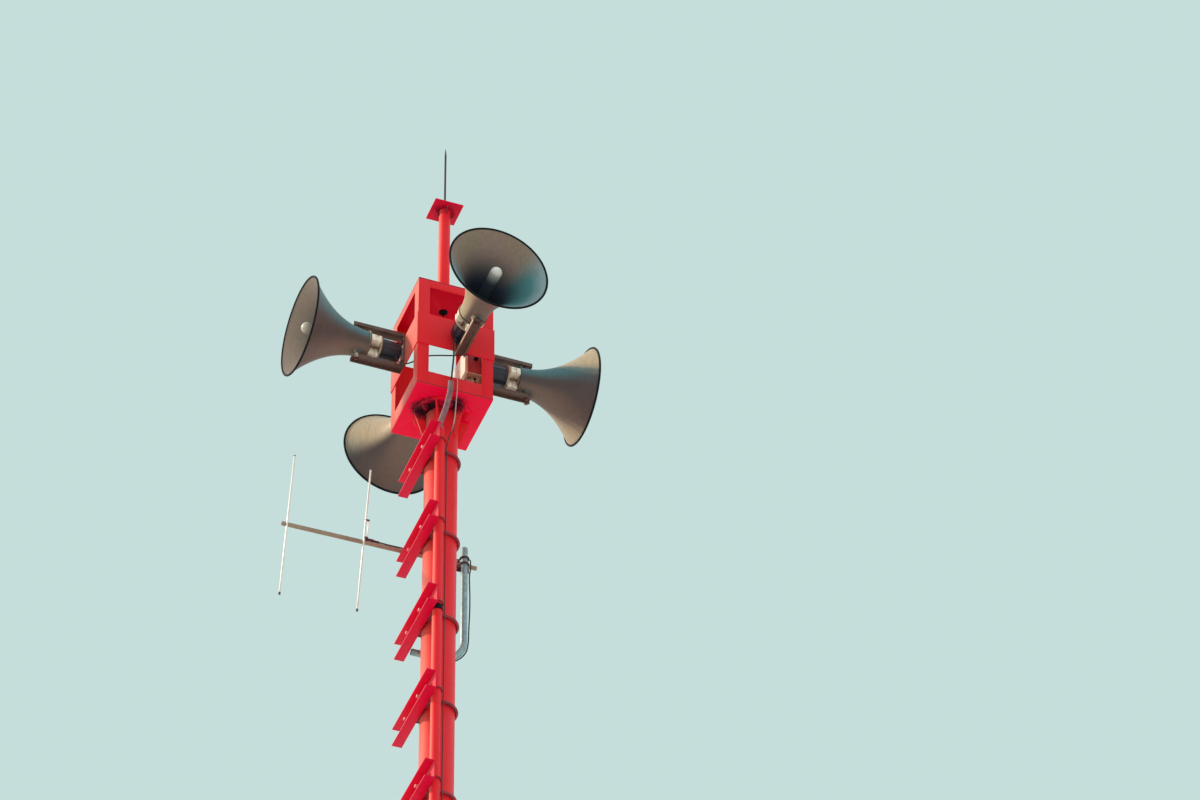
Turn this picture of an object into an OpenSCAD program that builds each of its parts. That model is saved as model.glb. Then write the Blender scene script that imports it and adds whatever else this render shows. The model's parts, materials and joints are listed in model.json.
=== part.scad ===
// Civil defense siren tower: a steel pipe mast with step irons, a square welded head that
// carries four horn loudspeakers, a top pole with a lightning rod, and a two element antenna.
// Units are millimetres. +Z is up, +X runs to the right along the head's front face and the
// front horn points along -Y. The origin is the centre of the base plate's underside.

/* [Mast] */
// Outside diameter of the mast pipe
mast_d = 165.2; // [140:1:200]
// Wall of the mast pipe
mast_wall = 6; // [4:0.5:10]
// Height of the head's bottom plate above the ground
head_height = 14400; // [13500:50:15500]
// Diameter of the flanges that join the mast sections
joint_flange_d = 290; // [280:5:296]
// Thickness of one joint flange
joint_flange_t = 16; // [10:1:25]
// Diameter of the flange under the head
head_flange_d = 300; // [270:5:330]
// Thickness of the flange under the head
head_flange_t = 12; // [8:1:20]
// Height of the gussets under a flange
gusset_h = 165; // [100:5:180]
// Thickness of a gusset plate
gusset_t = 9; // [6:1:16]
// Reach of the gussets under the head from the mast's axis
head_gusset_r = 145; // [125:1:148]
// Reach of the joints' gussets from the mast's axis
joint_gusset_r = 142; // [120:1:142]
// Diameter of a flange's bolt holes
flange_hole_d = 20; // [14:1:24]
// Distance of the bolt holes from a flange's edge
flange_margin = 27; // [24:1:35]

/* [Base] */
// Side of the square base plate
base_w = 480; // [460:10:600]
// Thickness of the base plate
base_t = 28; // [16:1:40]
// Spacing of the anchor holes
anchor_spacing = 380; // [360:5:400]
// Diameter of an anchor hole
anchor_hole_d = 34; // [20:1:42]
// Height of the stiffeners on the base plate
base_rib_h = 220; // [120:10:320]
// Reach of the stiffeners on the base plate from the mast's axis
base_rib_r = 192; // [150:1:230]
// Play round the riser in the base plate
riser_play = 8; // [7:1:12]

/* [Steps] */
// Number of steps
step_count = 23; // [20:1:23]
// Height from one step to the next
step_pitch = 515; // [500:5:530]
// Depth of the highest step's top below the head's bottom plate
first_step_drop = 267; // [240:1:300]
// Length of a step across the mast
step_len = 490; // [380:10:520]
// Height of the step channel
step_h = 100; // [90:5:125]
// Width of the step channel's flanges
step_flange = 50; // [40:5:60]
// Thickness of the step channel
step_t = 5; // [4:0.5:8]
// Rod diameter of the U-bolts
ubolt_d = 16; // [10:1:16]
// Thickness of the saddle between a step and the mast
saddle_t = 6; // [4:1:12]
// Width of the saddle
saddle_w = 120; // [90:5:140]
// Height of the saddle
saddle_h = 50; // [40:5:80]
// How far a U-bolt's thread stands out of the step
thread = 22; // [18:1:30]

/* [Cable riser] */
// Outside diameter of the riser pipe
riser_d = 48.6; // [42:0.2:54]
// Wall of the riser pipe
riser_wall = 3; // [2:0.5:4]
// How far the riser stands in front of the mast's axis
riser_reach = 165; // [160:1:180]
// Rod diameter of the clips that hold the riser
clip_d = 8; // [6:1:10]
// How far the bent top of the riser leans outwards
riser_lean = 66; // [60:1:80]
// Distance that the riser's bent top leans to the right
riser_side = 31; // [20:1:40]
// Outside diameter of the riser's bent top
riser_top_d = 29; // [26:1:34]
// Height of the bent top's mouth above the head's bottom plate
riser_rise = 27; // [10:1:60]

/* [Head] */
// Width of the square head
head_w = 400; // [380:5:440]
// Height of the head
head_h = 723; // [700:5:800]
// Leg of the corner angles
post_leg = 60; // [40:5:65]
// Thickness of the corner angles and rails
frame_t = 5; // [4:0.5:8]
// Height of the bottom rails
bottom_rail_h = 90; // [70:5:110]
// Height of the top rails
top_rail_h = 55; // [40:5:70]
// Height of the middle panels
panel_h = 209; // [200:1:240]
// Height of the middle panels' lower edge above the bottom plate
panel_z = 267; // [255:1:275]
// Thickness of the middle panels
panel_t = 5; // [4:0.5:8]
// Thickness of the head's bottom and top plates
deck_t = 6; // [4:0.5:10]
// Diameter of the wiring hole in the top plate
wire_hole_d = 46; // [30:1:50]

/* [Top pole] */
// Outside diameter of the top pole
pole_d = 60.5; // [48:0.5:70]
// Wall of the top pole
pole_wall = 4; // [3:0.5:6]
// Length of the top pole
pole_len = 720; // [600:10:800]
// Side of the square cap plate
cap_w = 155; // [130:5:180]
// Thickness of the cap plate
cap_t = 6; // [4:1:10]
// Diameter of the lightning rod
rod_d = 11; // [9:1:16]
// Length of the lightning rod
rod_len = 470; // [400:10:600]
// Length of the rod's point
rod_point = 50; // [30:5:80]

/* [Horns] */
// Outside diameter of a horn's mouth with its rubber rim
mouth_d = 528; // [500:1:540]
// Outside diameter of a horn's neck
neck_d = 150; // [140:1:160]
// Length of the flared bell
bell_len = 362; // [350:2:372]
// How sharply the bell flares
flare = 2.2; // [2:0.1:2.4]
// Wall of the bell
bell_wall = 3; // [2.5:0.5:4]
// Distance of the mouth from the panel that carries the horn
horn_reach = 554; // [545:1:575]
// Diameter of the rubber rim's bead
rim_bead = 11; // [8:1:14]
// Diameter of the tube inside the bell
plug_d = 60; // [50:1:70]
// Depth of the tube's rounded tip behind the mouth
plug_inset = 12; // [5:1:60]
// Diameter of the driver housing
driver_d = 113; // [100:1:120]
// Length of the driver housing
driver_len = 110; // [100:1:114]
// Gap between the driver housing and the panel
driver_gap = 18.5; // [18:0.5:22]
// Diameter of the cable gland on the driver housing
gland_d = 20; // [16:1:26]
// Length of the cable gland
gland_len = 16; // [12:1:18]
// Turn of the cable gland away from straight down
gland_turn = 30; // [28:1:40]
// Diameter of the collar's end plates between the driver and the neck
collar_d = 130; // [124:1:140]
// Thickness of the collar's plate on the driver
collar_t = 9; // [7:1:12]
// Diameter of the collar's plate on the neck
neck_plate_d = 116; // [100:1:130]
// Width of the collar's lugs
lug_w = 38; // [24:1:44]
// Distance of the lugs' outer faces from the horn's axis
lug_reach = 72; // [66:1:74]
// Distance of the pivot bolts from the panel
pivot_reach = 245; // [235:1:260]
// Gap between the bell and the bracket's arms at the pivot bolts
arm_gap = 19; // [14:1:24]
// Width of the bracket's channel arms
arm_w = 50; // [40:1:60]
// Depth of the bracket's channel arms
arm_h = 22; // [15:1:30]
// Thickness of the bracket
arm_t = 5; // [4:0.5:8]
// Length of the arms past the pivot bolts
arm_tip = 26; // [20:1:34]
// Thickness of the bracket's back plate
bracket_t = 6; // [5:0.5:8]
// Diameter of a pivot bolt's hole
pivot_hole_d = 13; // [10:1:16]

/* [Junction box] */
// Depth of the junction box from the panel
box_x = 85; // [70:1:100]
// Width of the junction box along the panel
box_y = 175; // [160:1:190]
// Distance of the box's middle behind the panel's middle
box_back = 32; // [20:1:36]
// Height of the junction box
box_z = 150; // [140:1:160]
// Height of the box's underside above the bottom plate
box_rise = 292; // [286:1:300]
// Thickness of the box's lid
lid_t = 14; // [8:1:20]
// How far the lid stands over the box's sides
lid_lip = 3; // [2:0.5:4]

/* [Antenna] */
// Outside diameter of the bent support pipe
support_d = 34; // [30:1:40]
// Wall of the support pipe
support_wall = 3; // [2:0.5:4]
// Gap between the mast and the support pipe
support_gap = 62; // [56:1:70]
// Distance of the upright leg from the mast's axis, sideways
support_x = 184; // [160:1:200]
// Height of the upright leg's top above the level leg
support_rise = 717; // [650:1:800]
// Radius of the support pipe's bend
support_bend_r = 130; // [80:5:130]
// Depth of the support pipe's level leg below the head's bottom plate
support_drop = 1397; // [1390:1:1440]
// Width of the bracket that holds the level leg
support_block_w = 80; // [60:5:100]
// Diameter of the boom
boom_d = 22; // [18:1:24]
// Wall of the boom
boom_wall = 2; // [1.5:0.5:3]
// Depth of the boom below the head's bottom plate
boom_drop = 763; // [740:1:765]
// Length of the boom
boom_len = 998; // [900:1:1200]
// How far the boom runs past its support
boom_past = 73; // [50:1:100]
// Diameter of the elements
element_d = 9; // [7:0.5:12]
// Lean of the elements towards the front
element_lean = 10.9; // [0:0.1:15]
// Distance of the outer element from the boom's end
element_inset = 23; // [15:1:40]
// Spacing of the two elements
element_gap = 389; // [350:1:450]
// Length of the outer element above the boom's axis
reflector_up = 380; // [300:1:450]
// Length of the outer element below the boom's axis
reflector_down = 396; // [300:1:450]
// Length of the driven element above the boom's axis
driven_up = 403; // [300:1:450]
// Length of the driven element below the boom's axis
driven_down = 391; // [300:1:450]
// Length of the matching rod
match_len = 105; // [80:1:150]
// Diameter of the matching rod
match_d = 5; // [4:0.5:6]
// Distance of the matching rod from its element
match_gap = 15; // [12:0.5:24]
// Length of the coaxial connector on the boom
plug_len = 72; // [50:1:90]
// Diameter of the coaxial connector
plug_body_d = 18; // [14:1:20]
// Rod diameter of the antenna's clamps
clamp_rod = 8; // [6:1:10]

/* [Hidden] */

// Gap left between solids that only touch
seat = 0.3;

red = "#d8232c";
dark = "#33292b";
horn_grey = "#8d8176";
cream = "#e9dfc2";
rubber_black = "#1b1c1f";
zinc = "#8fa3a5";

mast_r = mast_d / 2;
riser_x = -mast_r - saddle_t + riser_d / 2;
riser_y = -riser_reach;
step_web_x = -mast_r - saddle_t;
face = head_w / 2 + panel_t;
axis_z = head_height + panel_z + panel_h / 2;
joint_steps = [8, 17];
anchor_sides = [-1, 1];
// Places of the control cable beside the riser, and of the feed cable outside the U-bolts
control_x = riser_x + riser_d / 2 + clip_d + 4;
down_y = mast_r + ubolt_d + 3;
joint_bolts = 8;
joint_gussets = 4;
head_bolts = 6;
head_gussets = 6;

function step_top(k) = head_height - first_step_drop - k * step_pitch;
function joint_z(k) = step_top(k) - step_h - (step_pitch - step_h) / 2;
upper_joint = joint_z(joint_steps[0]);
lower_joint = joint_z(joint_steps[1]);

// Horn placing: turn about Z, sideways shift on the panel, pan about the pivot bolts, the side on
// which the driver's cable gland sits, and how far the horn sits above the panel's middle
front_side = [0, 19, 1.4, 1, -20];
right_side = [90, 0, 0, 1, 0];
back_side = [180, 0, 3.5, 1, 0];
left_side = [-90, -14, 2.8, -1, 3];

pivot_y = face + pivot_reach;
gland_back = 27;

// Point on a driver's gland axis, a distance past the gland's face, measured as the routes are
function gland_point(side, past) = let (
    turn = gland_turn * side[3], q = driver_d / 2 + gland_len + past,
    x = -sin(turn) * q, y = pivot_y - face - driver_gap - gland_back,
    pan_x = side[1] + x * cos(side[2]) - y * sin(side[2]),
    pan_y = x * sin(side[2]) + y * cos(side[2]) - pivot_y)
    [pan_x * cos(side[0]) - pan_y * sin(side[0]), pan_x * sin(side[0]) + pan_y * cos(side[0]),
        axis_z - head_height + side[4] - cos(turn) * q];
function from_gland(side) = [for (past = [seat, 5, 10]) gland_point(side, past)];

// Glands on the junction box: place on its side, and the way that it faces
box_front = box_back - box_y / 2;
right_gland = [[head_w / 2 - 38, -34, box_rise], [0, 0, -1]];
control_gland = [[head_w / 2 - 66, -30, box_rise], [0, 0, -1]];
left_gland = [[head_w / 2 - 42, box_front, box_rise + 98], [0, -1, 0]];
back_gland = [[head_w / 2 - 42, box_front + box_y, box_rise + 60], [0, 1, 0]];
box_gland_len = 13;
function to_box(gland) = [for (past = [10, 5, seat])
    gland[0] + (box_gland_len + past) * gland[1]];

support_y = mast_r + support_gap + support_d / 2;
boom_y = support_y + support_d / 2 + boom_d / 2 + seat;
boom_z = head_height - boom_drop;
boom_right = support_x + boom_past;
reflector_x = boom_right - boom_len + element_inset;
driven_x = reflector_x + element_gap;
plug_z = boom_z + boom_d / 2 + plug_body_d / 2 + seat;
plug_x = driven_x + element_d / 2 + 6;

// Routes of the cables, measured from the underside of the head's bottom plate
mouth_x = riser_x + riser_side;
mouth_y0 = riser_y - riser_lean;
riser_route = concat([[mouth_x, mouth_y0 + 5, -12], [mouth_x, mouth_y0 + 1, 12],
    [mouth_x + 2, mouth_y0 - 3, 50], [-29, -238, 100], [-27, -243, 150], [-25.5, -246.5, 190],
    [-26.5, -248.5, 222], [-29.5, -250.5, 248], [-31, -251.3, 262], [-30.2, -251.5, 272]],
    reverse(from_gland(front_side)));
left_route = concat(from_gland(left_side), [[-248, -27, 284], [-241, -30, 269],
    [-225, -37, 257], [-200, -52, 252], [-150, -76, 275], [-100, -92, 302], [30, -92, 345],
    [100, -92, 372], [138, -92, 387]], to_box(left_gland));
back_route = concat(from_gland(back_side), [[64, 246, 283], [62, 240, 268], [62, 226, 254],
    [66, 204, 246], [80, 184, 254], [104, 172, 284], [130, 168, 318], [149, 160, 342]],
    to_box(back_gland));
right_route = concat(from_gland(right_side), [[246, -50, 283], [240, -51, 268],
    [228, -49, 251], [212, -46, 240], [195, -42, 235], [178, -38, 239], [166, -35, 251]],
    to_box(right_gland));
control_route = concat(reverse(to_box(control_gland)), [[129, -38, 247], [104, -82, 195],
    [60, -148, 125], [26, -186, 103], [15, -199, 96], [10, -205.5, 84], [10, -205, 30],
    [8, -205, -10], [0, -198, -181], [-12, -182, -260], [control_x, riser_y, -340],
    [control_x, riser_y, -400]]);
feed_top = -boom_drop + boom_d / 2 + 3.5 + seat;
feed_side = support_x + support_d / 2 + 3.5 + seat;
feed_bend = support_bend_r + support_d / 2 + 6 + seat;
feed_corner = [support_x - support_bend_r, support_y, support_bend_r - support_drop];
feed_route = concat(
    [for (past = [seat, 8, 16]) [plug_x + plug_len + past, boom_y, plug_z - head_height]],
    [[plug_x + plug_len + 60, boom_y, feed_top + 4], [-120, boom_y, feed_top + 5],
        [-20, boom_y, feed_top + 3], [90, boom_y, feed_top + 4],
        [support_x - 32, boom_y + 1, feed_top + 13], [support_x, boom_y + 2, feed_top + 22],
        [support_x + 22, boom_y - 4, feed_top + 22],
        [support_x + 34, support_y + 11, feed_top + 12],
        [feed_side + 12, support_y + 2, -boom_drop - 5], [feed_side + 12, support_y, -boom_drop - 35],
        [feed_side + 6, support_y, -boom_drop - 90], [feed_side + 9, support_y, -boom_drop - 200],
        [feed_side + 9, support_y, -boom_drop - 300], [feed_side + 5, support_y, -boom_drop - 430]],
    [for (a = [0:-22.5:-90]) feed_corner + feed_bend * [cos(a), 0, sin(a)]],
    [[38, support_y - 10, -support_drop - 32], [30, support_y - 36, -support_drop - 54],
        [27, down_y + 4, -support_drop - 94], [27, down_y, -support_drop - 150]]);

// General shapes

module pipe(d, wall, len) {
    difference() {
        cylinder(d = d, h = len, $fn = 64);
        translate([0, 0, -1]) cylinder(d = d - 2 * wall, h = len + 2, $fn = 64);
    }
}

// Triangular plate that stands on a pipe: w outwards and h down from its top edge
module gusset(w, h, t) {
    translate([0, t / 2, 0]) rotate([90, 0, 0])
        linear_extrude(t) polygon([[0, 0], [w, 0], [w, -t], [t, -h], [0, -h]]);
}

module gusset_ring(count, start, r, w, h, t) {
    for (i = [0:count - 1]) rotate([0, 0, start + i * 360 / count])
        translate([r - 1, 0, 0]) gusset(w + 1, h, t);
}

module flange(d, t, bore_d, bolts) {
    difference() {
        cylinder(d = d, h = t, $fn = 96);
        translate([0, 0, -1]) cylinder(d = bore_d, h = t + 2, $fn = 64);
        bolt_holes(d, t, bolts);
    }
}

// Bolt holes of a flange of diameter d, through a plate of thickness t
module bolt_holes(d, t, bolts) {
    for (i = [0:bolts - 1]) rotate([0, 0, (i + 0.5) * 360 / bolts])
        translate([d / 2 - flange_margin, 0, -1])
            cylinder(d = flange_hole_d, h = t + 2, $fn = 24);
}

// U-bolt in the XY plane: the bow goes round +X and the legs end at -X
module u_bolt(rod, inner_r, leg) {
    r = inner_r + rod / 2;
    rotate([0, 0, -90]) rotate_extrude(angle = 180, $fn = 48)
        translate([r, 0]) circle(d = rod, $fn = 16);
    for (s = [-1, 1]) translate([-leg, s * r, 0]) rotate([0, 90, 0])
        cylinder(d = rod, h = leg, $fn = 16);
}

// Smooth curve through chosen points
function spline(p, n) = [for (i = [0:len(p) - 2]) each
    [for (j = [0:n - 1]) spline_point(p, i, j / n)], p[len(p) - 1]];
function spline_point(p, i, t) =
    let (a = p[max(i - 1, 0)], b = p[i], c = p[i + 1], d = p[min(i + 2, len(p) - 1)])
    0.5 * (2 * b + (c - a) * t + (2 * a - 5 * b + 4 * c - d) * t * t
        + (3 * b - a - 3 * c + d) * t * t * t);

// Round tube swept along points, with flat ends
module sweep(points, d, sides = 8) {
    n = len(points);
    tangent = [for (i = [0:n - 1]) unit(points[min(i + 1, n - 1)] - points[max(i - 1, 0)])];
    ring = [for (i = [0:n - 1]) let (u = across(tangent[i]), v = cross(tangent[i], u))
        [for (k = [0:sides - 1]) points[i]
            + d / 2 * (cos(360 * k / sides) * u + sin(360 * k / sides) * v)]];
    polyhedron([for (r = ring) each r], concat(
        [[for (k = [0:sides - 1]) k]],
        [for (i = [0:n - 2]) for (k = [0:sides - 1])
            [i * sides + k, (i + 1) * sides + k, (i + 1) * sides + (k + 1) % sides,
                i * sides + (k + 1) % sides]],
        [[for (k = [sides - 1:-1:0]) (n - 1) * sides + k]]));
}
function unit(v) = v / norm(v);
function reverse(list) = [for (i = [len(list) - 1:-1:0]) list[i]];
function across(t) = unit(cross(t, abs(t.y) < 0.9 ? [0, 1, 0] : [1, 0, 0]));

// Mast

module base_plate() color(red) difference() {
    translate([-base_w / 2, -base_w / 2, 0]) cube([base_w, base_w, base_t]);
    for (x = anchor_sides, y = anchor_sides)
        translate([x * anchor_spacing / 2, y * anchor_spacing / 2, -1])
            cylinder(d = anchor_hole_d, h = base_t + 2, $fn = 32);
    translate([riser_x, riser_y, -1]) cylinder(d = riser_d + 2 * riser_play, h = base_t + 2, $fn = 48);
}

module mast_lower() color(red) {
    translate([0, 0, base_t]) pipe(mast_d, mast_wall, lower_joint - base_t);
    translate([0, 0, base_t]) mirror([0, 0, 1])
        gusset_ring(4, 45, mast_r, base_rib_r - mast_r, base_rib_h, gusset_t);
    translate([0, 0, lower_joint - joint_flange_t]) joint_flange();
    translate([0, 0, lower_joint - joint_flange_t])
        joint_gusset_ring();
}

module joint_flange() {
    flange(joint_flange_d, joint_flange_t, mast_d - 1, joint_bolts);
}

module joint_gusset_ring() {
    gusset_ring(joint_gussets, 0, mast_r, joint_gusset_r - mast_r, gusset_h, gusset_t);
}

module mast_middle() color(red) {
    translate([0, 0, lower_joint]) pipe(mast_d, mast_wall, upper_joint - lower_joint);
    translate([0, 0, lower_joint]) joint_flange();
    translate([0, 0, lower_joint + joint_flange_t]) mirror([0, 0, 1])
        joint_gusset_ring();
    translate([0, 0, upper_joint - joint_flange_t]) joint_flange();
    translate([0, 0, upper_joint - joint_flange_t])
        joint_gusset_ring();
}

module mast_upper() color(red) {
    translate([0, 0, upper_joint])
        pipe(mast_d, mast_wall, head_height - head_flange_t - upper_joint);
    translate([0, 0, upper_joint]) joint_flange();
    translate([0, 0, upper_joint + joint_flange_t]) mirror([0, 0, 1])
        joint_gusset_ring();
}

module head_flange() color(dark) translate([0, 0, head_height - head_flange_t]) {
    root = mast_r + 1 + seat;
    flange(head_flange_d, head_flange_t, mast_d - 4 * mast_wall, head_bolts);
    gusset_ring(head_gussets, 0, root, head_gusset_r - root, gusset_h, gusset_t);
}

// Head

module bottom_plate() color(red) translate([0, 0, head_height]) difference() {
    translate([-head_w / 2, -head_w / 2, 0]) cube([head_w, head_w, deck_t]);
    translate([0, 0, -1]) cylinder(d = mast_d - 4 * mast_wall, h = deck_t + 2, $fn = 64);
    bolt_holes(head_flange_d, deck_t, head_bolts);
}

module angle_bar(leg, t, len) {
    linear_extrude(len) polygon([[0, 0], [leg, 0], [leg, t], [t, t], [t, leg], [0, leg]]);
}

module corner_posts() color(red) for (i = [0:3]) rotate([0, 0, 90 * i])
    translate([-head_w / 2, -head_w / 2, head_height + deck_t])
        angle_bar(post_leg, frame_t, head_h - 2 * deck_t);

module rail(h) {
    rail_w = head_w - 2 * post_leg;
    translate([-rail_w / 2, -head_w / 2, 0]) cube([rail_w, frame_t, h]);
}

module bottom_rails() color(red) for (i = [0:3]) rotate([0, 0, 90 * i])
    translate([0, 0, head_height + deck_t]) rail(bottom_rail_h - deck_t);

module top_rails() color(red) for (i = [0:3]) rotate([0, 0, 90 * i])
    translate([0, 0, head_height + head_h - top_rail_h]) rail(top_rail_h - deck_t);

module mid_panels() color(red) for (i = [0:3]) rotate([0, 0, 90 * i])
    translate([0, 0, head_height + panel_z]) panel(i % 2 == 0 ? 2 * face : head_w);

module panel(w) {
    translate([-w / 2, -face, 0]) cube([w, panel_t, panel_h]);
}

module top_plate() color(red) translate([0, 0, head_height + head_h - deck_t]) difference() {
    translate([-head_w / 2, -head_w / 2, 0]) cube([head_w, head_w, deck_t]);
    translate([0, 0, -1]) cylinder(d = wire_hole_d, h = deck_t + 2, $fn = 48);
}

// Top pole and lightning rod

pole_z = head_height + head_h;
cap_z = pole_z + pole_len;

module top_pole() color(red) translate([0, 0, pole_z]) pipe(pole_d, pole_wall, pole_len);

module cap_plate() color(red) translate([0, 0, cap_z]) {
    translate([-cap_w / 2, -cap_w / 2, 0]) cube([cap_w, cap_w, cap_t]);
    gusset_ring(4, 0, pole_d / 2 + 1 + seat, 25, 40, 4);
}

module lightning_rod() color(dark) translate([0, 0, cap_z + cap_t]) {
    cylinder(d = 26, h = 12, $fn = 6);
    cylinder(d = rod_d, h = rod_len - rod_point, $fn = 24);
    translate([0, 0, rod_len - rod_point]) cylinder(d1 = rod_d, d2 = 2, h = rod_point, $fn = 24);
}

// Steps

module step_channel() {
    rotate([90, 0, 0]) translate([0, 0, -step_len / 2]) linear_extrude(step_len)
        polygon([[0, 0], [0, -step_h], [-step_flange, -step_h], [-step_flange, step_t - step_h],
            [-step_t, step_t - step_h], [-step_t, -step_t], [-step_flange, -step_t],
            [-step_flange, 0]]);
}

module steps() color(red) for (k = [0:step_count - 1])
    translate([step_web_x, 0, step_top(k)]) difference() {
        step_channel();
        for (s = [-1, 1]) translate([-step_t - 1, s * (mast_r + ubolt_d / 2 + seat), -step_h / 2])
            rotate([0, 90, 0]) cylinder(d = ubolt_d + 2, h = step_t + 2, $fn = 24);
        for (s = [-1, 1])
            translate([-step_t - 1, riser_y + s * ((riser_d + clip_d) / 2 + seat), -step_h / 2])
                rotate([0, 90, 0]) cylinder(d = clip_d + 2, h = step_t + 2, $fn = 24);
    }

module step_clamps() color(dark) for (k = [0:step_count - 1])
    translate([0, 0, step_top(k) - step_h / 2]) {
        u_bolt(ubolt_d, mast_r + seat, mast_r + saddle_t + step_t + thread);
        difference() {
            translate([step_web_x + seat, -saddle_w / 2, -saddle_h / 2])
                cube([saddle_t + 24, saddle_w, saddle_h]);
            translate([0, 0, -saddle_h]) cylinder(r = mast_r + seat, h = 2 * saddle_h, $fn = 96);
        }
        translate([riser_x, riser_y, 0])
            u_bolt(clip_d, riser_d / 2 + seat, riser_d / 2 + step_t + 12);
    }

// Cable riser

riser_bend_z = head_height - 250;

module riser_pipe() color(red) translate([riser_x, riser_y, 0])
    pipe(riser_d, riser_wall, riser_bend_z);

module riser_head() color(zinc) difference() {
    union() {
        sweep(spline(riser_bend(0), 5), riser_top_d, 12);
        translate([riser_x, riser_y, riser_bend_z + seat])
            cylinder(d1 = riser_d, d2 = riser_top_d + 4, h = 24, $fn = 24);
    }
    sweep(spline(riser_bend(6), 5), riser_top_d - 2 * riser_wall, 12);
}

// Centre line of the bent top, run on by a length past both ends
function riser_bend(past) = [for (p = [[0, 0, riser_bend_z + seat - past],
    [0, 0, riser_bend_z + 30], [0.1 * riser_side, 0, riser_bend_z + 56],
    [0.72 * riser_side, -0.33 * riser_lean, riser_bend_z + 138],
    [0.98 * riser_side, -0.85 * riser_lean, riser_bend_z + 215],
    [riser_side, -riser_lean, head_height + riser_rise + past]]) [riser_x, riser_y, 0] + p];

// Horns

function bell_r(d) = neck_d / 2 + (mouth_d - neck_d) / 2 * pow(1 - d / bell_len, flare);
bell_steps = 20;
mouth_y = face + horn_reach;
neck_y = mouth_y - bell_len;
pivot_depth = horn_reach - pivot_reach;
arm_z = bell_r(pivot_depth) + arm_gap;
neck_r = (neck_d - rim_bead) / 2;
neck_ring_t = 7;
boss_d = 40;

// Places a horn built along +Z, with the tower's axis at its origin, on one side of the head
module on_side(side) {
    on_panel(side) translate([0, -pivot_y, 0]) rotate([0, 0, side[2]])
        translate([0, pivot_y, 0]) rotate([90, 0, 0]) children();
}

module on_panel(side) {
    rotate([0, 0, side[0]]) translate([side[1], 0, axis_z + side[4]]) children();
}

module bell_section() {
    lip = 2;
    outer = [for (i = [0:bell_steps]) let (d = bell_len * i / bell_steps)
        [bell_r(d) - rim_bead / 2, mouth_y - lip - d * (bell_len - lip) / bell_len]];
    inner = [for (i = [bell_steps:-1:0]) let (d = bell_len * i / bell_steps)
        [bell_r(d) - rim_bead / 2 - bell_wall,
            mouth_y - lip - d * (bell_len - lip - bell_wall) / bell_len]];
    ring = [[neck_r, neck_y + neck_ring_t], [neck_d / 2, neck_y + neck_ring_t],
        [neck_d / 2, neck_y]];
    polygon(concat([for (i = [0:bell_steps - 1]) outer[i]], ring,
        [[0, neck_y], [0, neck_y + bell_wall]], inner));
}

module bell() color(horn_grey) {
    rotate_extrude($fn = 96) bell_section();
    boss_z = bell_r(pivot_depth) - rim_bead / 2 - bell_wall + 1;
    for (s = [-1, 1]) translate([0, 0, pivot_y]) rotate([s * 90, 0, 0]) difference() {
        translate([0, 0, boss_z]) cylinder(d = boss_d, h = arm_z - boss_z - seat, $fn = 32);
        translate([0, 0, boss_z + bell_wall + 2])
            cylinder(d = pivot_hole_d - 1, h = arm_z, $fn = 24);
    }
}

module plug() color(horn_grey) translate([0, 0, neck_y + bell_wall]) {
    tip = plug_d / 2;
    len = mouth_y - plug_inset - neck_y - bell_wall;
    rotate_extrude($fn = 48) intersection() {
        union() {
            square([tip, len - tip]);
            translate([0, len - tip]) circle(r = tip, $fn = 48);
        }
        square([tip, len]);
    }
}

module rim() color(rubber_black) rotate_extrude($fn = 96) difference() {
    translate([(mouth_d - rim_bead) / 2 - 2, mouth_y - rim_bead / 2])
        circle(d = rim_bead, $fn = 24);
    bell_section();
}

driver_front = face + driver_gap + driver_len;
module collar() color(cream) {
    back = driver_front + seat;
    len = neck_y - seat - back;
    core_d = 62;
    neck_plate_t = 5;
    translate([0, 0, back]) {
        cylinder(d = collar_d, h = collar_t, $fn = 64);
        cylinder(d = core_d, h = len, $fn = 48);
    }
    translate([0, 0, back + len - neck_plate_t])
        cylinder(d = neck_plate_d, h = neck_plate_t, $fn = 64);
    for (i = [0:3]) rotate([0, 0, 90 * i])
        translate([core_d / 2 - 4, -lug_w / 2, back])
            cube([lug_reach - core_d / 2 + 4, lug_w, len]);
}

module driver(turn) color(rubber_black) {
    edge = 16;
    flange_t = 9;
    r = driver_d / 2;
    z = face + driver_gap;
    rotate_extrude($fn = 64) polygon(concat([[0, z]],
        [for (a = [-90:22.5:0]) [r - 3 - edge + edge * cos(a), z + edge + edge * sin(a)]],
        [[r - 3, driver_front - flange_t - 3], [r, driver_front - flange_t], [r, driver_front],
            [0, driver_front]]));
    rotate([0, 0, -turn]) translate([0, 5 - r, z + gland_back]) rotate([90, 0, 0])
        cylinder(d = gland_d, h = gland_len + 5, $fn = 24);
}

module bracket(side) color(dark) on_panel(side) {
    reach = pivot_reach + arm_tip;
    translate([-arm_w / 2, -face - bracket_t, -arm_z - arm_t])
        cube([arm_w, bracket_t, 2 * (arm_z + arm_t)]);
    for (s = [0, 1]) mirror([0, 0, s]) difference() {
        translate([-arm_w / 2, -face - reach, arm_z]) {
            cube([arm_w, reach - bracket_t / 2, arm_t]);
            for (x = [0, arm_w - arm_t]) translate([x, 0, 0])
                cube([arm_t, reach - bracket_t / 2, arm_h]);
        }
        translate([0, -pivot_y, arm_z - 1])
            cylinder(d = pivot_hole_d, h = arm_t + 2, $fn = 24);
    }
}

// Junction box

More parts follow.
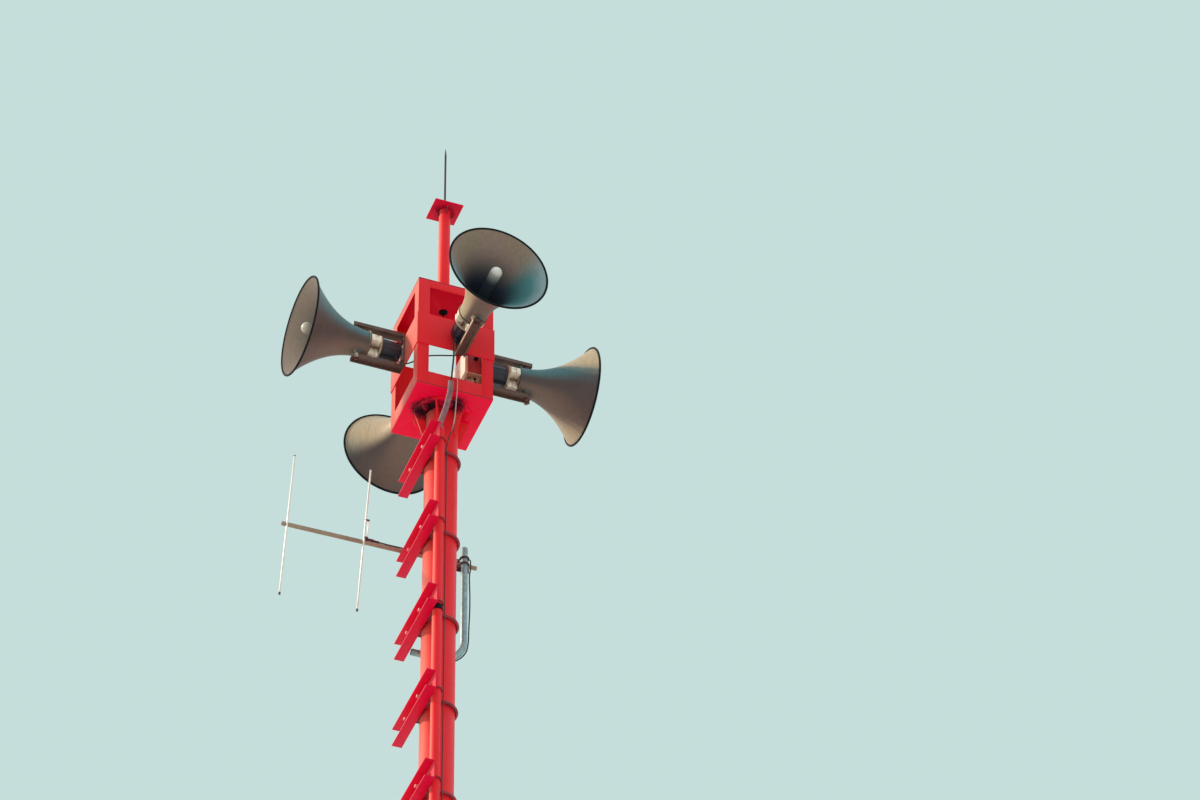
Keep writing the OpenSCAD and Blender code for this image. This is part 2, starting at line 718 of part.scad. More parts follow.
module junction_box() color(cream) translate([0, 0, head_height]) {
    inner_x = head_w / 2 - box_x - seat;
    translate([inner_x, box_front, box_rise]) cube([box_x, box_y, box_z]);
    translate([inner_x - lid_t, box_front - lid_lip, box_rise - lid_lip])
        cube([lid_t + 1, box_y + 2 * lid_lip, box_z + 2 * lid_lip]);
    for (g = [right_gland, control_gland, left_gland, back_gland]) translate(g[0] - g[1])
        rotate([g[1].y != 0 ? -90 * g[1].y : 180, 0, 0])
            cylinder(d = gland_d, h = box_gland_len + 1, $fn = 24);
}

// Antenna

support_z = head_height - support_drop;
support_left = 80;

module antenna_support() color(zinc) {
    bore_d = support_d - 2 * support_wall;
    level = support_left + support_x - support_bend_r;
    translate([-support_left, support_y, support_z]) rotate([0, 90, 0])
        pipe(support_d, support_wall, level);
    translate([support_x - support_bend_r, support_y, support_z + support_bend_r])
        rotate([90, 0, 0]) rotate([0, 0, -90]) rotate_extrude(angle = 90, $fn = 64)
            translate([support_bend_r, 0]) difference() {
                circle(d = support_d, $fn = 48);
                circle(d = bore_d, $fn = 48);
            }
    translate([support_x, support_y, support_z + support_bend_r])
        pipe(support_d, support_wall, support_rise - support_bend_r);
    difference() {
        translate([-support_block_w / 2, mast_r - 22, support_z - support_d / 2 - 4])
            cube([support_block_w, support_gap + 22 + support_wall / 2, support_d + 8]);
        translate([0, 0, support_z - support_d])
            cylinder(r = mast_r + seat, h = 2 * support_d, $fn = 96);
        translate([0, support_y, support_z]) rotate([0, 90, 0])
            cylinder(d = support_d - support_wall, h = 2 * support_block_w, center = true, $fn = 48);
    }
}

module antenna_boom() color(zinc)
    translate([boom_right - boom_len, boom_y, boom_z]) rotate([0, 90, 0])
        pipe(boom_d, boom_wall, boom_len);

// Rod against the front of the boom, up and down from the boom's axis
module element(x, up, down) {
    at_element(x) translate([0, 0, -down]) cylinder(d = element_d, h = up + down, $fn = 24);
}

module at_element(x) {
    translate([x, boom_y, boom_z]) rotate([element_lean, 0, 0])
        translate([0, -boom_d / 2 - element_d / 2 - seat, 0]) children();
}

// The two elements, and the matching rod with its two straps beside the driven one
module antenna_elements() color("#d9d7cf") {
    strap = 8;
    low = boom_d / 2 + 6;
    element(reflector_x, reflector_up, reflector_down);
    element(driven_x, driven_up, driven_down);
    at_element(driven_x) {
        translate([match_gap, 0, low]) cylinder(d = match_d, h = match_len, $fn = 16);
        for (z = [low + 2, low + match_len - strap - 2]) translate([0, -match_d / 2, z])
            cube([match_gap, match_d, strap]);
    }
}

// The clamp that holds the boom, and the coaxial connector on the boom
module antenna_clamp() color(dark) {
    plate = [76, 5, 64];
    for (s = [-1, 1])
        translate([support_x, support_y, boom_z + s * (boom_d / 2 + clamp_rod / 2 + 3)])
            rotate([0, 0, -90])
                u_bolt(clamp_rod, support_d / 2 + seat, support_d / 2 + boom_d + 14);
    translate([support_x - plate.x / 2, boom_y + boom_d / 2 + seat, boom_z - plate.z / 2])
        cube(plate);
    translate([plug_x, boom_y, plug_z]) rotate([0, 90, 0]) {
        cylinder(d = plug_body_d, h = plug_len * 0.6, $fn = 24);
        cylinder(d = plug_body_d * 0.7, h = plug_len, $fn = 24);
    }
}

// Cables

module cable(route, d, run_on = []) {
    translate([0, 0, head_height]) sweep(concat(spline(route, 4), run_on), d);
}

module driver_leads() color(rubber_black) {
    cable(right_route, 7);
    cable(back_route, 7);
    cable(left_route, 7);
}

module riser_cable() color(rubber_black) cable(riser_route, 9);

// The control cable runs straight down beside the riser, and through its hole in the base
hole_x = riser_x + riser_d / 2 + riser_play / 2 - 0.5;
module control_cable() color("#cfc9bb")
    cable(control_route, 6, [[control_x, riser_y, 300 - head_height],
        [hole_x, riser_y, 100 - head_height], [hole_x, riser_y, 2 - head_height]]);

// The feed cable passes outside the joint flanges on its way down the back of the mast
flange_y = joint_flange_d / 2 + 5;
module feed_cable() color(rubber_black) cable(feed_route, 7, [
    for (z = [upper_joint, lower_joint]) for (p = [[27, down_y, 160], [38, flange_y, 30],
        [38, flange_y, -30], [27, down_y, -160]]) [p.x, p.y, z + p.z - head_height],
    [27, down_y, base_t + 6 - head_height]]);

base_plate();
mast_lower();
mast_middle();
mast_upper();
head_flange();
bottom_plate();
corner_posts();
bottom_rails();
mid_panels();
top_rails();
top_plate();
top_pole();
cap_plate();
lightning_rod();
steps();
step_clamps();
riser_pipe();
riser_head();
junction_box();
antenna_support();
antenna_boom();
antenna_elements();
antenna_clamp();
driver_leads();
riser_cable();
control_cable();
feed_cable();
bracket(front_side);  // front_bracket
on_side(front_side) bell();  // front_bell
on_side(front_side) plug();  // front_plug
on_side(front_side) rim();  // front_rim
on_side(front_side) collar();  // front_collar
on_side(front_side) driver(gland_turn * front_side[3]);  // front_driver
bracket(right_side);  // right_bracket
on_side(right_side) bell();  // right_bell
on_side(right_side) plug();  // right_plug
on_side(right_side) rim();  // right_rim
on_side(right_side) collar();  // right_collar
on_side(right_side) driver(gland_turn * right_side[3]);  // right_driver
bracket(back_side);  // back_bracket
on_side(back_side) bell();  // back_bell
on_side(back_side) plug();  // back_plug
on_side(back_side) rim();  // back_rim
on_side(back_side) collar();  // back_collar
on_side(back_side) driver(gland_turn * back_side[3]);  // back_driver
bracket(left_side);  // left_bracket
on_side(left_side) bell();  // left_bell
on_side(left_side) plug();  // left_plug
on_side(left_side) rim();  // left_rim
on_side(left_side) collar();  // left_collar
on_side(left_side) driver(gland_turn * left_side[3]);  // left_driver
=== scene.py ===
"""Dresses the civil defense siren tower: a red pipe mast with step channels, a square head with
four horn loudspeakers, a top pole and a small antenna. Lengths are in metres, but finishes,
dark patches, fasteners and cable routes give theirs in millimetres."""
from __future__ import annotations

import json
import logging
import math
from dataclasses import dataclass
from enum import Enum
from typing import Iterable, Sequence

import bmesh
import bpy
from mathutils import Matrix, Vector


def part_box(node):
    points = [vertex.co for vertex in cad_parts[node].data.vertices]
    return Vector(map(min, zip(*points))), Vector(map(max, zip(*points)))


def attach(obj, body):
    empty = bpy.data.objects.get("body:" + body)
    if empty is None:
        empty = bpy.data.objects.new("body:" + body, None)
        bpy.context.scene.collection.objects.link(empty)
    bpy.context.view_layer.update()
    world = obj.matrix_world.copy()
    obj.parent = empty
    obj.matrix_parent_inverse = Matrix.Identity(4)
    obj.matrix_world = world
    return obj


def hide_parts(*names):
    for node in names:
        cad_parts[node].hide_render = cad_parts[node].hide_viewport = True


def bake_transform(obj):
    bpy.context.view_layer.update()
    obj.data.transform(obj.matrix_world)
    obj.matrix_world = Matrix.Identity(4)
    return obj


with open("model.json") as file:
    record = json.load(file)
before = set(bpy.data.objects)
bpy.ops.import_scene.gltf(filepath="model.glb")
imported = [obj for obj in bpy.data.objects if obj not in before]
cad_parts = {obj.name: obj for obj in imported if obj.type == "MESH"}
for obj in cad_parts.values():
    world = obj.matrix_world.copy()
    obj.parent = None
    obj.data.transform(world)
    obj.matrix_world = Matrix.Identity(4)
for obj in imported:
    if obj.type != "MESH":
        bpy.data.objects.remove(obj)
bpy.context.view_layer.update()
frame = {"nodes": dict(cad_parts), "record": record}
MM = 0.001
SUN = Vector((-0.78, 0.33, 0.53)).normalized()
SUN_EDGE = (-0.06, 0.0, 0.06)     # how far its light is spread, for a soft edge of the shadow
# The way to the brightest sky, whose painted reflection the horns' insides carry
BRIGHT_SKY = Vector((-0.32, 0.0, 0.95)).normalized()
log = logging.getLogger("siren_tower")

Point = Sequence[float]
Shape = bmesh.types.BMesh
Socket = bpy.types.NodeSocket
Tree = bpy.types.NodeTree

# The head's underside, width and height, and the face and height at which its horns are mounted
HEAD_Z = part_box("bottom_plate")[0].z
HEAD_W = 400 * MM
HEAD_H = 723 * MM
FACE = 205 * MM
AXIS_Z = HEAD_Z + 371.5 * MM

# Dark navy patches under the head, round places near its bolts: places and sizes, in millimetres
SPOTS = ((-122, -20, -6, 50), (-98, -40, -6, 58), (-72, -74, -6, 50), (14, -102, -6, 46),
         (34, -126, -6, 50))


# Finishes

def linear(colour: str) -> tuple[float, float, float, float]:
    """Turns an sRGB hex colour into linear RGBA."""
    parts = [int(colour[i:i + 2], 16) / 255 for i in (1, 3, 5)]
    return (*[c / 12.92 if c <= 0.04045 else ((c + 0.055) / 1.055) ** 2.4 for c in parts], 1.0)


def add_node(tree: Tree, kind: str, inputs: dict | None = None,
             **settings: str) -> bpy.types.Node:
    """Adds a shader node.

    Args:
        tree: the material's or world's node tree.
        kind: the last part of Blender's name of the node type.
        inputs: values of its sockets, or the output sockets linked to them.
        settings: attributes of the node.

    Returns:
        The node.
    """
    node = tree.nodes.new(f"ShaderNode{kind}")
    for key, value in settings.items():
        setattr(node, key, value)
    for key, value in (inputs or {}).items():
        if isinstance(value, Socket):
            tree.links.new(value, node.inputs[key])
        else:
            node.inputs[key].default_value = value
    return node


def fade(tree: Tree, amount: Socket, low: float, high: float, first: Socket | str,
         second: Socket | str, most: float = 1.0) -> Socket:
    """Mixes a colour in as an amount goes from low to high.

    Args:
        tree: the material's tree.
        amount: the amount.
        low: the amount at which nothing is mixed in.
        high: the amount at which the most is mixed in.
        first: the colour at low.
        second: the colour at high.
        most: how much of it is mixed in there.

    Returns:
        The mixed colour.
    """
    part = add_node(tree, "MapRange", {
        "Value": amount, "From Min": low, "From Max": high, "To Max": most},
        interpolation_type="SMOOTHSTEP")
    first, second = (linear(c) if isinstance(c, str) else c for c in (first, second))
    return add_node(tree, "Mix", {0: part.outputs["Result"], 6: first, 7: second},
                    data_type="RGBA").outputs[2]


def facing(tree: Tree, way: Point) -> Socket:
    """Returns how far the surface faces a way, from -1 to 1, in the piece's own frame."""
    normal = add_node(tree, "TexCoord").outputs["Normal"]
    return add_node(tree, "VectorMath", {0: normal, 1: tuple(way)},
                    operation="DOT_PRODUCT").outputs["Value"]


class Pattern(Enum):
    """What the surface shows besides its mottling."""
    CLOUDED = "soft clouds of dirt"
    STREAKED = "rain streaks that run down"
    SPANGLED = "zinc crystals"
    RUSTED = "rust blooms"


@dataclass(frozen=True)
class Finish:
    """A surface as it was made and has weathered. Sizes are in millimetres.

    Its colour and second colour are mottled, and the mark is the colour of its pattern. Where it
    has them, under is a deeper colour for its undersides, which is painted shade, and chalk a
    lighter one for the side that faces the sun, which is painted sunlight as well as bleaching.
    """
    name: str
    colour: str
    second: str
    mark: str
    roughness: float = 0.5
    rougher: float = 0.7
    metallic: float = 0.0
    ior: float = 1.5
    specular: float = 0.5
    mottle_mm: float = 40.0
    grain_mm: float = 2.0
    bump_mm: float = 0.1
    pattern: Pattern = Pattern.CLOUDED
    mark_amount: float = 0.5
    mark_mm: float = 22.0
    under: str = ""
    chalk_and_sunlight: str = ""

    def make(self) -> bpy.types.Material:
        """Builds the material the first time that it is asked for.

        Returns:
            The material.
        """
        made = bpy.data.materials.get(self.name)
        if made:
            return made
        made = bpy.data.materials.new(self.name)
        made.use_nodes = True
        tree = made.node_tree
        tree.nodes.clear()
        place = add_node(tree, "TexCoord").outputs["Object"]
        mottle = add_node(tree, "TexNoise", {
            "Vector": place, "Scale": 1 / (self.mottle_mm * MM), "Detail": 5.0, "Roughness": 0.6})
        spread = add_node(tree, "MapRange", {
            "Value": mottle.outputs["Fac"], "From Min": 0.34, "From Max": 0.66})
        tint = add_node(tree, "Mix", {
            0: spread.outputs["Result"], 6: linear(self.colour), 7: linear(self.second)},
            data_type="RGBA")
        base, amount = self.marks(tree, place, self.shaded(tree, tint.outputs[2]))
        rough = add_node(tree, "MapRange", {
            "Value": amount, "To Min": self.roughness, "To Max": self.rougher})
        grain = add_node(tree, "TexNoise", {
            "Vector": place, "Scale": 1 / (self.grain_mm * MM), "Detail": 3.0})
        bump = add_node(tree, "Bump", {
            "Strength": 0.6, "Distance": self.bump_mm * MM, "Height": grain.outputs["Fac"]})
        shader = add_node(tree, "BsdfPrincipled", {
            "Base Color": base, "Roughness": rough.outputs["Result"], "Metallic": self.metallic,
            "Normal": bump.outputs["Normal"]})
        if not self.metallic:
            shader.inputs["IOR"].default_value = self.ior
            shader.inputs["Specular IOR Level"].default_value = self.specular
        add_node(tree, "OutputMaterial", {"Surface": shader.outputs[0]})
        return made

    def shaded(self, tree: Tree, base: Socket) -> Socket:
        """Adds painted shade underneath, and chalk with painted sunlight on the sunny side.

        Args:
            tree: the material's tree.
            base: the mottled colour.

        Returns:
            The colour with both.
        """
        # painted shade facing down; painted sunlight, with bleaching, facing the sun
        if self.under:
            base = fade(tree, facing(tree, (0, 0, -1)), 0.3, 0.9, base, self.under)
        if self.chalk_and_sunlight:
            base = fade(tree, facing(tree, SUN), 0.2, 0.9, base, self.chalk_and_sunlight)
        return base

    def marks(self, tree: Tree, place: Socket, base: Socket) -> tuple[Socket, Socket]:
        """Adds the pattern.

        Args:
            tree: the material's tree.
            place: object coordinates.
            base: the colour before the pattern.

        Returns:
            The colour with the pattern, and how much of it there is at each point.
        """
        stretch = (1.0, 1.0, 0.06) if self.pattern is Pattern.STREAKED else (1.0, 1.0, 1.0)
        drawn = add_node(tree, "Mapping", {"Vector": place, "Scale": stretch})
        inputs = {"Vector": drawn.outputs[0], "Scale": 1 / (self.mark_mm * MM)}
        if self.pattern is Pattern.SPANGLED:
            cells = add_node(tree, "TexVoronoi", inputs, feature="F1")
            source, low, high = cells.outputs["Color"], 0.1, 0.9
        else:
            noise = add_node(tree, "TexNoise", {**inputs, "Detail": 6.0, "Roughness": 0.65})
            source = noise.outputs["Fac"]
            low, high = (0.5, 0.72) if self.pattern is Pattern.RUSTED else (0.48, 0.8)
        amount = add_node(tree, "MapRange", {
            "Value": source, "From Min": low, "From Max": high, "To Max": self.mark_amount})
        mixed = add_node(tree, "Mix", {
            0: amount.outputs["Result"], 6: base, 7: linear(self.mark)}, data_type="RGBA")
        return mixed.outputs[2], amount.outputs["Result"]


@dataclass(frozen=True)
class DarkPatchFinish(Finish):
    """A finish with dark patches round some places, given in millimetres from the head's
    underside.

    A noise is added to the distance from a place, which makes the edge ragged. The noise and the
    distances at which a patch is gone and full are shares of its size.
    """
    patch_colour: str = "#1c1626"
    cover: float = 0.93
    ragged_mm: float = 34.0
    ragged: float = 1.6
    gone_at: float = 2.15
    full_at: float = 1.1
    spots: tuple[tuple[float, float, float, float], ...] = ()

    def shaded(self, tree: Tree, base: Socket) -> Socket:
        """Adds the dark patches, each with a ragged edge.

        Args:
            tree: the material's tree.
            base: the mottled colour.

        Returns:
            The colour with the patches.
        """
        base = super().shaded(tree, base)
        place = add_node(tree, "TexCoord").outputs["Object"]
        ragged = add_node(tree, "TexNoise", {
            "Vector": place, "Scale": 1 / (self.ragged_mm * MM), "Detail": 6.0, "Roughness": 0.7})
        for x, y, z, size in self.spots:
            middle = (x * MM, y * MM, HEAD_Z + z * MM)
            apart = add_node(tree, "VectorMath", {0: place, 1: middle}, operation="DISTANCE")
            edge = add_node(tree, "Math", {
                0: ragged.outputs["Fac"], 1: self.ragged * size * MM,
                2: apart.outputs["Value"]},
                operation="MULTIPLY_ADD").outputs["Value"]
            base = fade(tree, edge, self.gone_at * size * MM, self.full_at * size * MM, base,
                        self.patch_colour, self.cover)
        return base


@dataclass(frozen=True)
class CableFinish(Finish):
    """A pale sheath near the head, darker further down with the riser pipe's painted shadow."""
    # the colour of the painted shadow lower down
    weathered: str = "#4a1622"
    pale_drop: float = 190 * MM
    dark_drop: float = 280 * MM

    def shaded(self, tree: Tree, base: Socket) -> Socket:
        """Adds the painted shadow, which starts a little above the first step.

        Args:
            tree: the material's tree.
            base: the mottled colour.

        Returns:
            The colour with it.
        """
        place = add_node(tree, "TexCoord").outputs["Object"]
        height = add_node(tree, "SeparateXYZ", {0: place}).outputs["Z"]
        return fade(tree, height, HEAD_Z - self.pale_drop, HEAD_Z - self.dark_drop, base,
                    self.weathered)


@dataclass(frozen=True)
class HornFinish(Finish):
    """Horn paint, with painted sky reflection, ground bounce, sunlight and shade in the throat.

    The pieces carry four values at each point: how far it is from the mouth to the throat, how
    far it faces up, how much sun falls on it, and whether it is inside. The sun's share, with
    the head's cast shadow in it, is painted into the colour.
    """
    # painted sky reflection where it faces up
    above: str = "#4c767c"
    # painted warm ground bounce where it faces down
    below: str = "#7a685f"
    # painted sunlight, cut by the head's cast shadow
    painted_sunlight: str = "#b5a488"
    inside: str = "#8f796e"
    olive: str = "#8a7a67"
    # painted sky reflection on the inner wall
    upward_sky_reflection: str = "#477f82"
    # a paler painted sky reflection near the mouth
    rim_sky_reflection: str = "#8fa4a8"
    # painted sunlight on the inner wall, where the sun shines into the mouth
    lit_wall: str = "#85766a"
    # a pale top: painted light on the very top, as well as bleaching
    crown: str = "#9a9c92"
    # painted shade deep in the throat
    throat: str = "#303947"
    throat_shade_from: float = 0.14
    throat_shade_to: float = 0.62
    cloud_mm: float = 150.0

    def shaded(self, tree: Tree, base: Socket) -> Socket:
        """Adds the painted light: sky reflection, ground bounce, sunlight and shade in the throat.

        Args:
            tree: the material's tree.
            base: the mottled colour.

        Returns:
            The colour with them.
        """
        upness, depth, sunlit, inner = (
            add_node(tree, "Attribute", attribute_name=name).outputs["Fac"]
            for name in ("facing_up", "depth", "sunlit", "inside"))
        outer = fade(tree, upness, 0.26, 0.05, base, self.below)
        outer = fade(tree, upness, 0.31, 0.58, outer, self.above)
        outer = fade(tree, upness, 0.83, 0.98, outer, self.crown)
        outer = fade(tree, sunlit, 0.0, 0.35, outer, self.painted_sunlight)
        place = add_node(tree, "TexCoord").outputs["Object"]
        cloud = add_node(tree, "TexNoise", {
            "Vector": place, "Scale": 1 / (self.cloud_mm * MM), "Detail": 3.0}).outputs["Fac"]
        wall = fade(tree, cloud, 0.38, 0.62, self.inside, self.olive)
        painted_sky_reflection = fade(tree, depth, 0.0, 0.2, self.rim_sky_reflection, self.upward_sky_reflection)
        wall = fade(tree, upness, 0.3, 0.56, wall, painted_sky_reflection)
        wall = fade(tree, upness, 0.83, 0.98, wall, self.crown)
        wall = fade(tree, sunlit, 0.02, 0.5, wall, self.lit_wall)
        wall = fade(tree, depth, self.throat_shade_from, self.throat_shade_to, wall, self.throat)
        return add_node(tree, "Mix", {0: inner, 6: outer, 7: wall}, data_type="RGBA").outputs[2]


# Brush-painted alkyd enamel on steel: bright red, faint rain streaks; lighter where the sun
# falls, painted sunlight as well as bleaching, and deeper where it faces down, painted shade
RED = Finish(
    "Red_alkyd_enamel", "#e92430", "#ee2c33", "#ab121f", 0.45, 0.6, specular=0.12, mottle_mm=260,
    grain_mm=5, bump_mm=0.25, pattern=Pattern.STREAKED, mark_amount=0.14, mark_mm=34,
    under="#f00838", chalk_and_sunlight="#dc7062")
# A deeper, shaded copy of the same enamel for the steps, which face the ground: painted shade,
# with less chalk and painted sunlight
SHADED_STEP_RED = Finish(
    "Shaded_red_step_enamel", "#e20b37", "#e6163b", "#a50f2a", 0.4, 0.55, specular=0.15,
    mottle_mm=120, grain_mm=4, bump_mm=0.3, pattern=Pattern.RUSTED, mark_amount=0.25, mark_mm=30,
    under="#e0053c", chalk_and_sunlight="#dd5a63")
# The enamel under the head: a deeper red where it faces down, which is painted shade, with
# dark navy patches round places near the bolts
UNDER_RED = DarkPatchFinish(
    "Dark_patched_red_enamel", "#e92430", "#ee2c33", "#b4102c", 0.45, 0.65, specular=0.12,
    mottle_mm=260, grain_mm=5, bump_mm=0.25, pattern=Pattern.RUSTED, mark_amount=0.25, mark_mm=60,
    under="#fa0440", chalk_and_sunlight="#e07c70", spots=SPOTS)
# The enamel on the cap plate, with a dark ring round the pole's weld: painted shade in the
# corner where the pole meets the plate
CAP_RED = DarkPatchFinish(
    "Cap_plate_enamel", "#dd1430", "#e21d33", "#8e1030", 0.45, 0.65, specular=0.12, mottle_mm=90,
    grain_mm=5, bump_mm=0.25, pattern=Pattern.RUSTED, mark_amount=0.3, mark_mm=26, under="#dd0838",
    chalk_and_sunlight="#e07c70", patch_colour="#64102f",
    spots=((0, 0, (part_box("cap_plate")[0].z - HEAD_Z) / MM, 74),))
# Dark strips along the head's seams: painted shade of the gaps between the rails and plates
SEAM_SHADE = Finish(
    "Painted_seam_shade", "#4c1226", "#390c1e", "#7a1a2c", 0.6, 0.75, mottle_mm=30, bump_mm=0.2)
# Glass-fibre horn under matt stone paint
HORN = HornFinish(
    "Stone_horn_paint", "#5c504d", "#524b4a", "#463c38", 0.45, 0.6, specular=0.25, mottle_mm=110,
    grain_mm=3, bump_mm=0.12, pattern=Pattern.STREAKED, mark_amount=0.35, mark_mm=14)
# The tube in the throat under the same paint, lighter at its tip and darker towards the
# throat: painted highlight and painted shade
HORN_TUBE = HornFinish(
    "Stone_tube_paint", "#8b8880", "#9a958a", "#55524e", 0.3, 0.5, grain_mm=3, mark_amount=0.3,
    mark_mm=16, painted_sunlight="#dcd6c2", inside="#e2dfd3", olive="#d8d4c6", upward_sky_reflection="#e6e8e0",
    rim_sky_reflection="#ecece6", lit_wall="#c9c2b0", throat="#36424e", throat_shade_from=0.0, throat_shade_to=0.3)
# Cast aluminium lugs under white paint, with grime in their pores
CREAM_CAST = Finish(
    "White_painted_lugs", "#faf5e8", "#efe7d2", "#8a7455", mottle_mm=22, bump_mm=0.3,
    pattern=Pattern.RUSTED, mark_mm=12)
# The collar's plate under the same paint, worn through to grey-beige metal
PLATE_CAST = Finish(
    "Worn_collar_plate", "#b8a68c", "#9c8c76", "#5f5140", mottle_mm=18, bump_mm=0.3,
    pattern=Pattern.RUSTED, mark_amount=0.6, mark_mm=10)
# Moulded phenolic driver case: navy black, satin
DRIVER_CASE = Finish(
    "Moulded_driver_case", "#18202e", "#212a38", "#34323a", 0.35, 0.5, grain_mm=1.5,
    mark_amount=0.4, mark_mm=5)
# Extruded rubber: black, dull, with soft clouds of grey dust
RUBBER = Finish(
    "Extruded_black_rubber", "#0a0f18", "#10151d", "#2c2c2c", 0.6, 0.75, specular=0.12,
    mottle_mm=50, grain_mm=1.5, mark_amount=0.25, mark_mm=20)
# Hot-dip galvanised pipe: blue-grey zinc crystals, gone dull
ZINC = Finish(
    "Hot_dip_galvanised_pipe", "#86a9ad", "#a3bcbd", "#5d8088", 0.4, 0.55, metallic=0.5,
    mottle_mm=120, grain_mm=4, pattern=Pattern.SPANGLED, mark_mm=14)
# Grey flexible conduit at the riser's top, with a mauve cast that is painted reflection of the
# red paint round it, and lighter on its sunny side as painted sunlight
CONDUIT = Finish(
    "Grey_conduit_painted_red_reflection", "#9c7378", "#7d4e57", "#55242f", 0.5, 0.65, mottle_mm=30,
    grain_mm=3, bump_mm=0.2, mark_amount=0.6, chalk_and_sunlight="#d9c4be")
# Zinc-plated fasteners: pale and a little bright
FASTENER = Finish(
    "Zinc_plated_fastener", "#b9b6ac", "#a29d92", "#7a5b41", 0.35, 0.5, metallic=0.9, mottle_mm=12,
    pattern=Pattern.RUSTED, mark_mm=9)
# The U-bolts' threads, where the steps' enamel has worn back to the zinc
THREAD = Finish(
    "Enamel_worn_thread", "#d4707c", "#dc9a98", "#b01a38", 0.4, 0.55, metallic=0.2, mottle_mm=8,
    pattern=Pattern.RUSTED, mark_amount=0.6, mark_mm=7)
# Fasteners that were painted over and have rusted through
OLD_FASTENER = Finish(
    "Painted_over_fastener", "#4a2b33", "#6b2833", "#b98f72", mottle_mm=12, bump_mm=0.2,
    pattern=Pattern.RUSTED, mark_amount=0.6, mark_mm=11)
# Forged clamps under old red-brown primer, with rust coming through
CLAMP = Finish(
    "Red_brown_primed_steel", "#5a2430", "#48222a", "#6d3a22", mottle_mm=30, bump_mm=0.3,
    pattern=Pattern.RUSTED, mark_mm=14)
# The mast's clamps, painted over with the enamel, with large dark patches
PAINTED_CLAMP = Finish(
    "Painted_mast_clamp", "#a61c33", "#8c1a2e", "#30131d", mottle_mm=60, bump_mm=0.3,
    pattern=Pattern.RUSTED, mark_amount=0.85, mark_mm=45)
# Rolled channel with weathered brown paint, lighter on its sunny side as painted sunlight
BRACKET = Finish(
    "Weathered_brown_channel", "#64493f", "#4d3936", "#856452", chalk_and_sunlight="#ac876e", bump_mm=0.3,
    pattern=Pattern.RUSTED, mark_amount=0.6, mark_mm=18)
# Moulded polycarbonate box: cream, matt, lighter on its sunny side as painted sunlight
BOX_SHELL = Finish(
    "Cream_polycarbonate", "#e9e0c9", "#ded3b6", "#a99a78", 0.45, 0.6, mottle_mm=50, grain_mm=1.2,
    bump_mm=0.08, mark_amount=0.2, mark_mm=30, chalk_and_sunlight="#fff8e4")
# The box's front, dark red-brown: painted shade and painted reflection of the red paint round it
BOX_SHADED_FRONT = Finish(
    "Shaded_reddened_polycarbonate", "#a8525a", "#8e4a4c", "#54222b", 0.5, 0.65, mottle_mm=60,
    grain_mm=1.2, bump_mm=0.08, pattern=Pattern.STREAKED, mark_amount=0.6, mark_mm=18)
# The box's base, brown: painted shade on its underside, with soft clouds of dirt
BOX_SHADED_BASE = Finish(
    "Shaded_box_base", "#c39c7c", "#a07c63", "#5e4638", 0.5, 0.65, grain_mm=1.2, bump_mm=0.08)
# Dull anodised boom tube
BOOM = Finish(
    "Anodised_boom_tube", "#a8947f", "#937c6a", "#5f4a3e", 0.4, 0.55, metallic=0.3, mottle_mm=90,
    bump_mm=0.05, mark_mm=40)
# Bright drawn aluminium rod
ROD = Finish(
    "Drawn_aluminium_rod", "#efede6", "#e2dfd7", "#a9a296", 0.35, 0.5, metallic=0.3, mottle_mm=60,
    bump_mm=0.05, mark_amount=0.4, mark_mm=25)
# Black moulded end caps and insulators
CAP = Finish(
    "Black_moulded_cap", "#2a2624", "#3a322d", "#5a4a3e", 0.5, 0.65, mottle_mm=10, grain_mm=1,
    mark_amount=0.4, mark_mm=6)
# Dull steel of the lightning rod
ROD_STEEL = Finish(
    "Weathered_rod_steel", "#4b4850", "#3b383e", "#6b4630", 0.45, 0.65, metallic=0.7,
    pattern=Pattern.RUSTED, mark_mm=25)
# Cable sheaths: black rubber, and grey-white PVC
BLACK_CABLE = Finish(
    "Black_rubber_sheath", "#15161a", "#202226", "#3d3b38", 0.5, 0.62, grain_mm=1, bump_mm=0.05,
    mark_amount=0.3, mark_mm=18)
LIGHT_CABLE = CableFinish(
    "Light_PVC_sheath", "#cfa6a0", "#b88a86", "#7b4a4a", 0.5, 0.65, mottle_mm=60, grain_mm=1,
    bump_mm=0.05, mark_amount=0.4)

FINISHES: dict[str, Finish] = {
    "red_paint": RED, "flange_steel": UNDER_RED, "bracket_steel": BRACKET, "horn_shell": HORN,
    "horn_tube": HORN_TUBE, "rim_rubber": RUBBER, "collar_paint": CREAM_CAST,
    "driver_case": DRIVER_CASE, "rod_steel": ROD_STEEL, "clamp_steel": CLAMP,
    "zinc_pipe": ZINC, "box_shell": BOX_SHELL, "boom_tube": BOOM, "element_rod": ROD,
    "black_cable": BLACK_CABLE, "light_cable": LIGHT_CABLE}
SLOTS: dict[str, str] = {part["node"]: part["material_slot"]
                         for part in frame["record"]["subparts"]}
BODIES: dict[str, str] = {node: body
                          for body, nodes in frame["record"]["behaviour"]["bodies"].items()
                          for node in nodes}


# Shapes

def aim(point: Point, direction: Point) -> Matrix:
    """Returns the place of a shape built along +Z that stands at a point and faces a way."""
    turned = Vector(direction).to_track_quat("Z", "Y").to_matrix().to_4x4()
    return Matrix.Translation(Vector(point)) @ turned


def raised(height: float) -> Matrix:
    """Returns a move up the Z axis."""
    return Matrix.Translation((0, 0, height))


def rotated(degrees: float, axis: str = "Z") -> Matrix:
    """Returns a turn about an axis."""
    return Matrix.Rotation(math.radians(degrees), 4, axis)


def from_head(point: Point) -> Vector:
    """Turns millimetres from the middle of the head's underside into a place."""
    return Vector(point) * MM + Vector((0, 0, HEAD_Z))


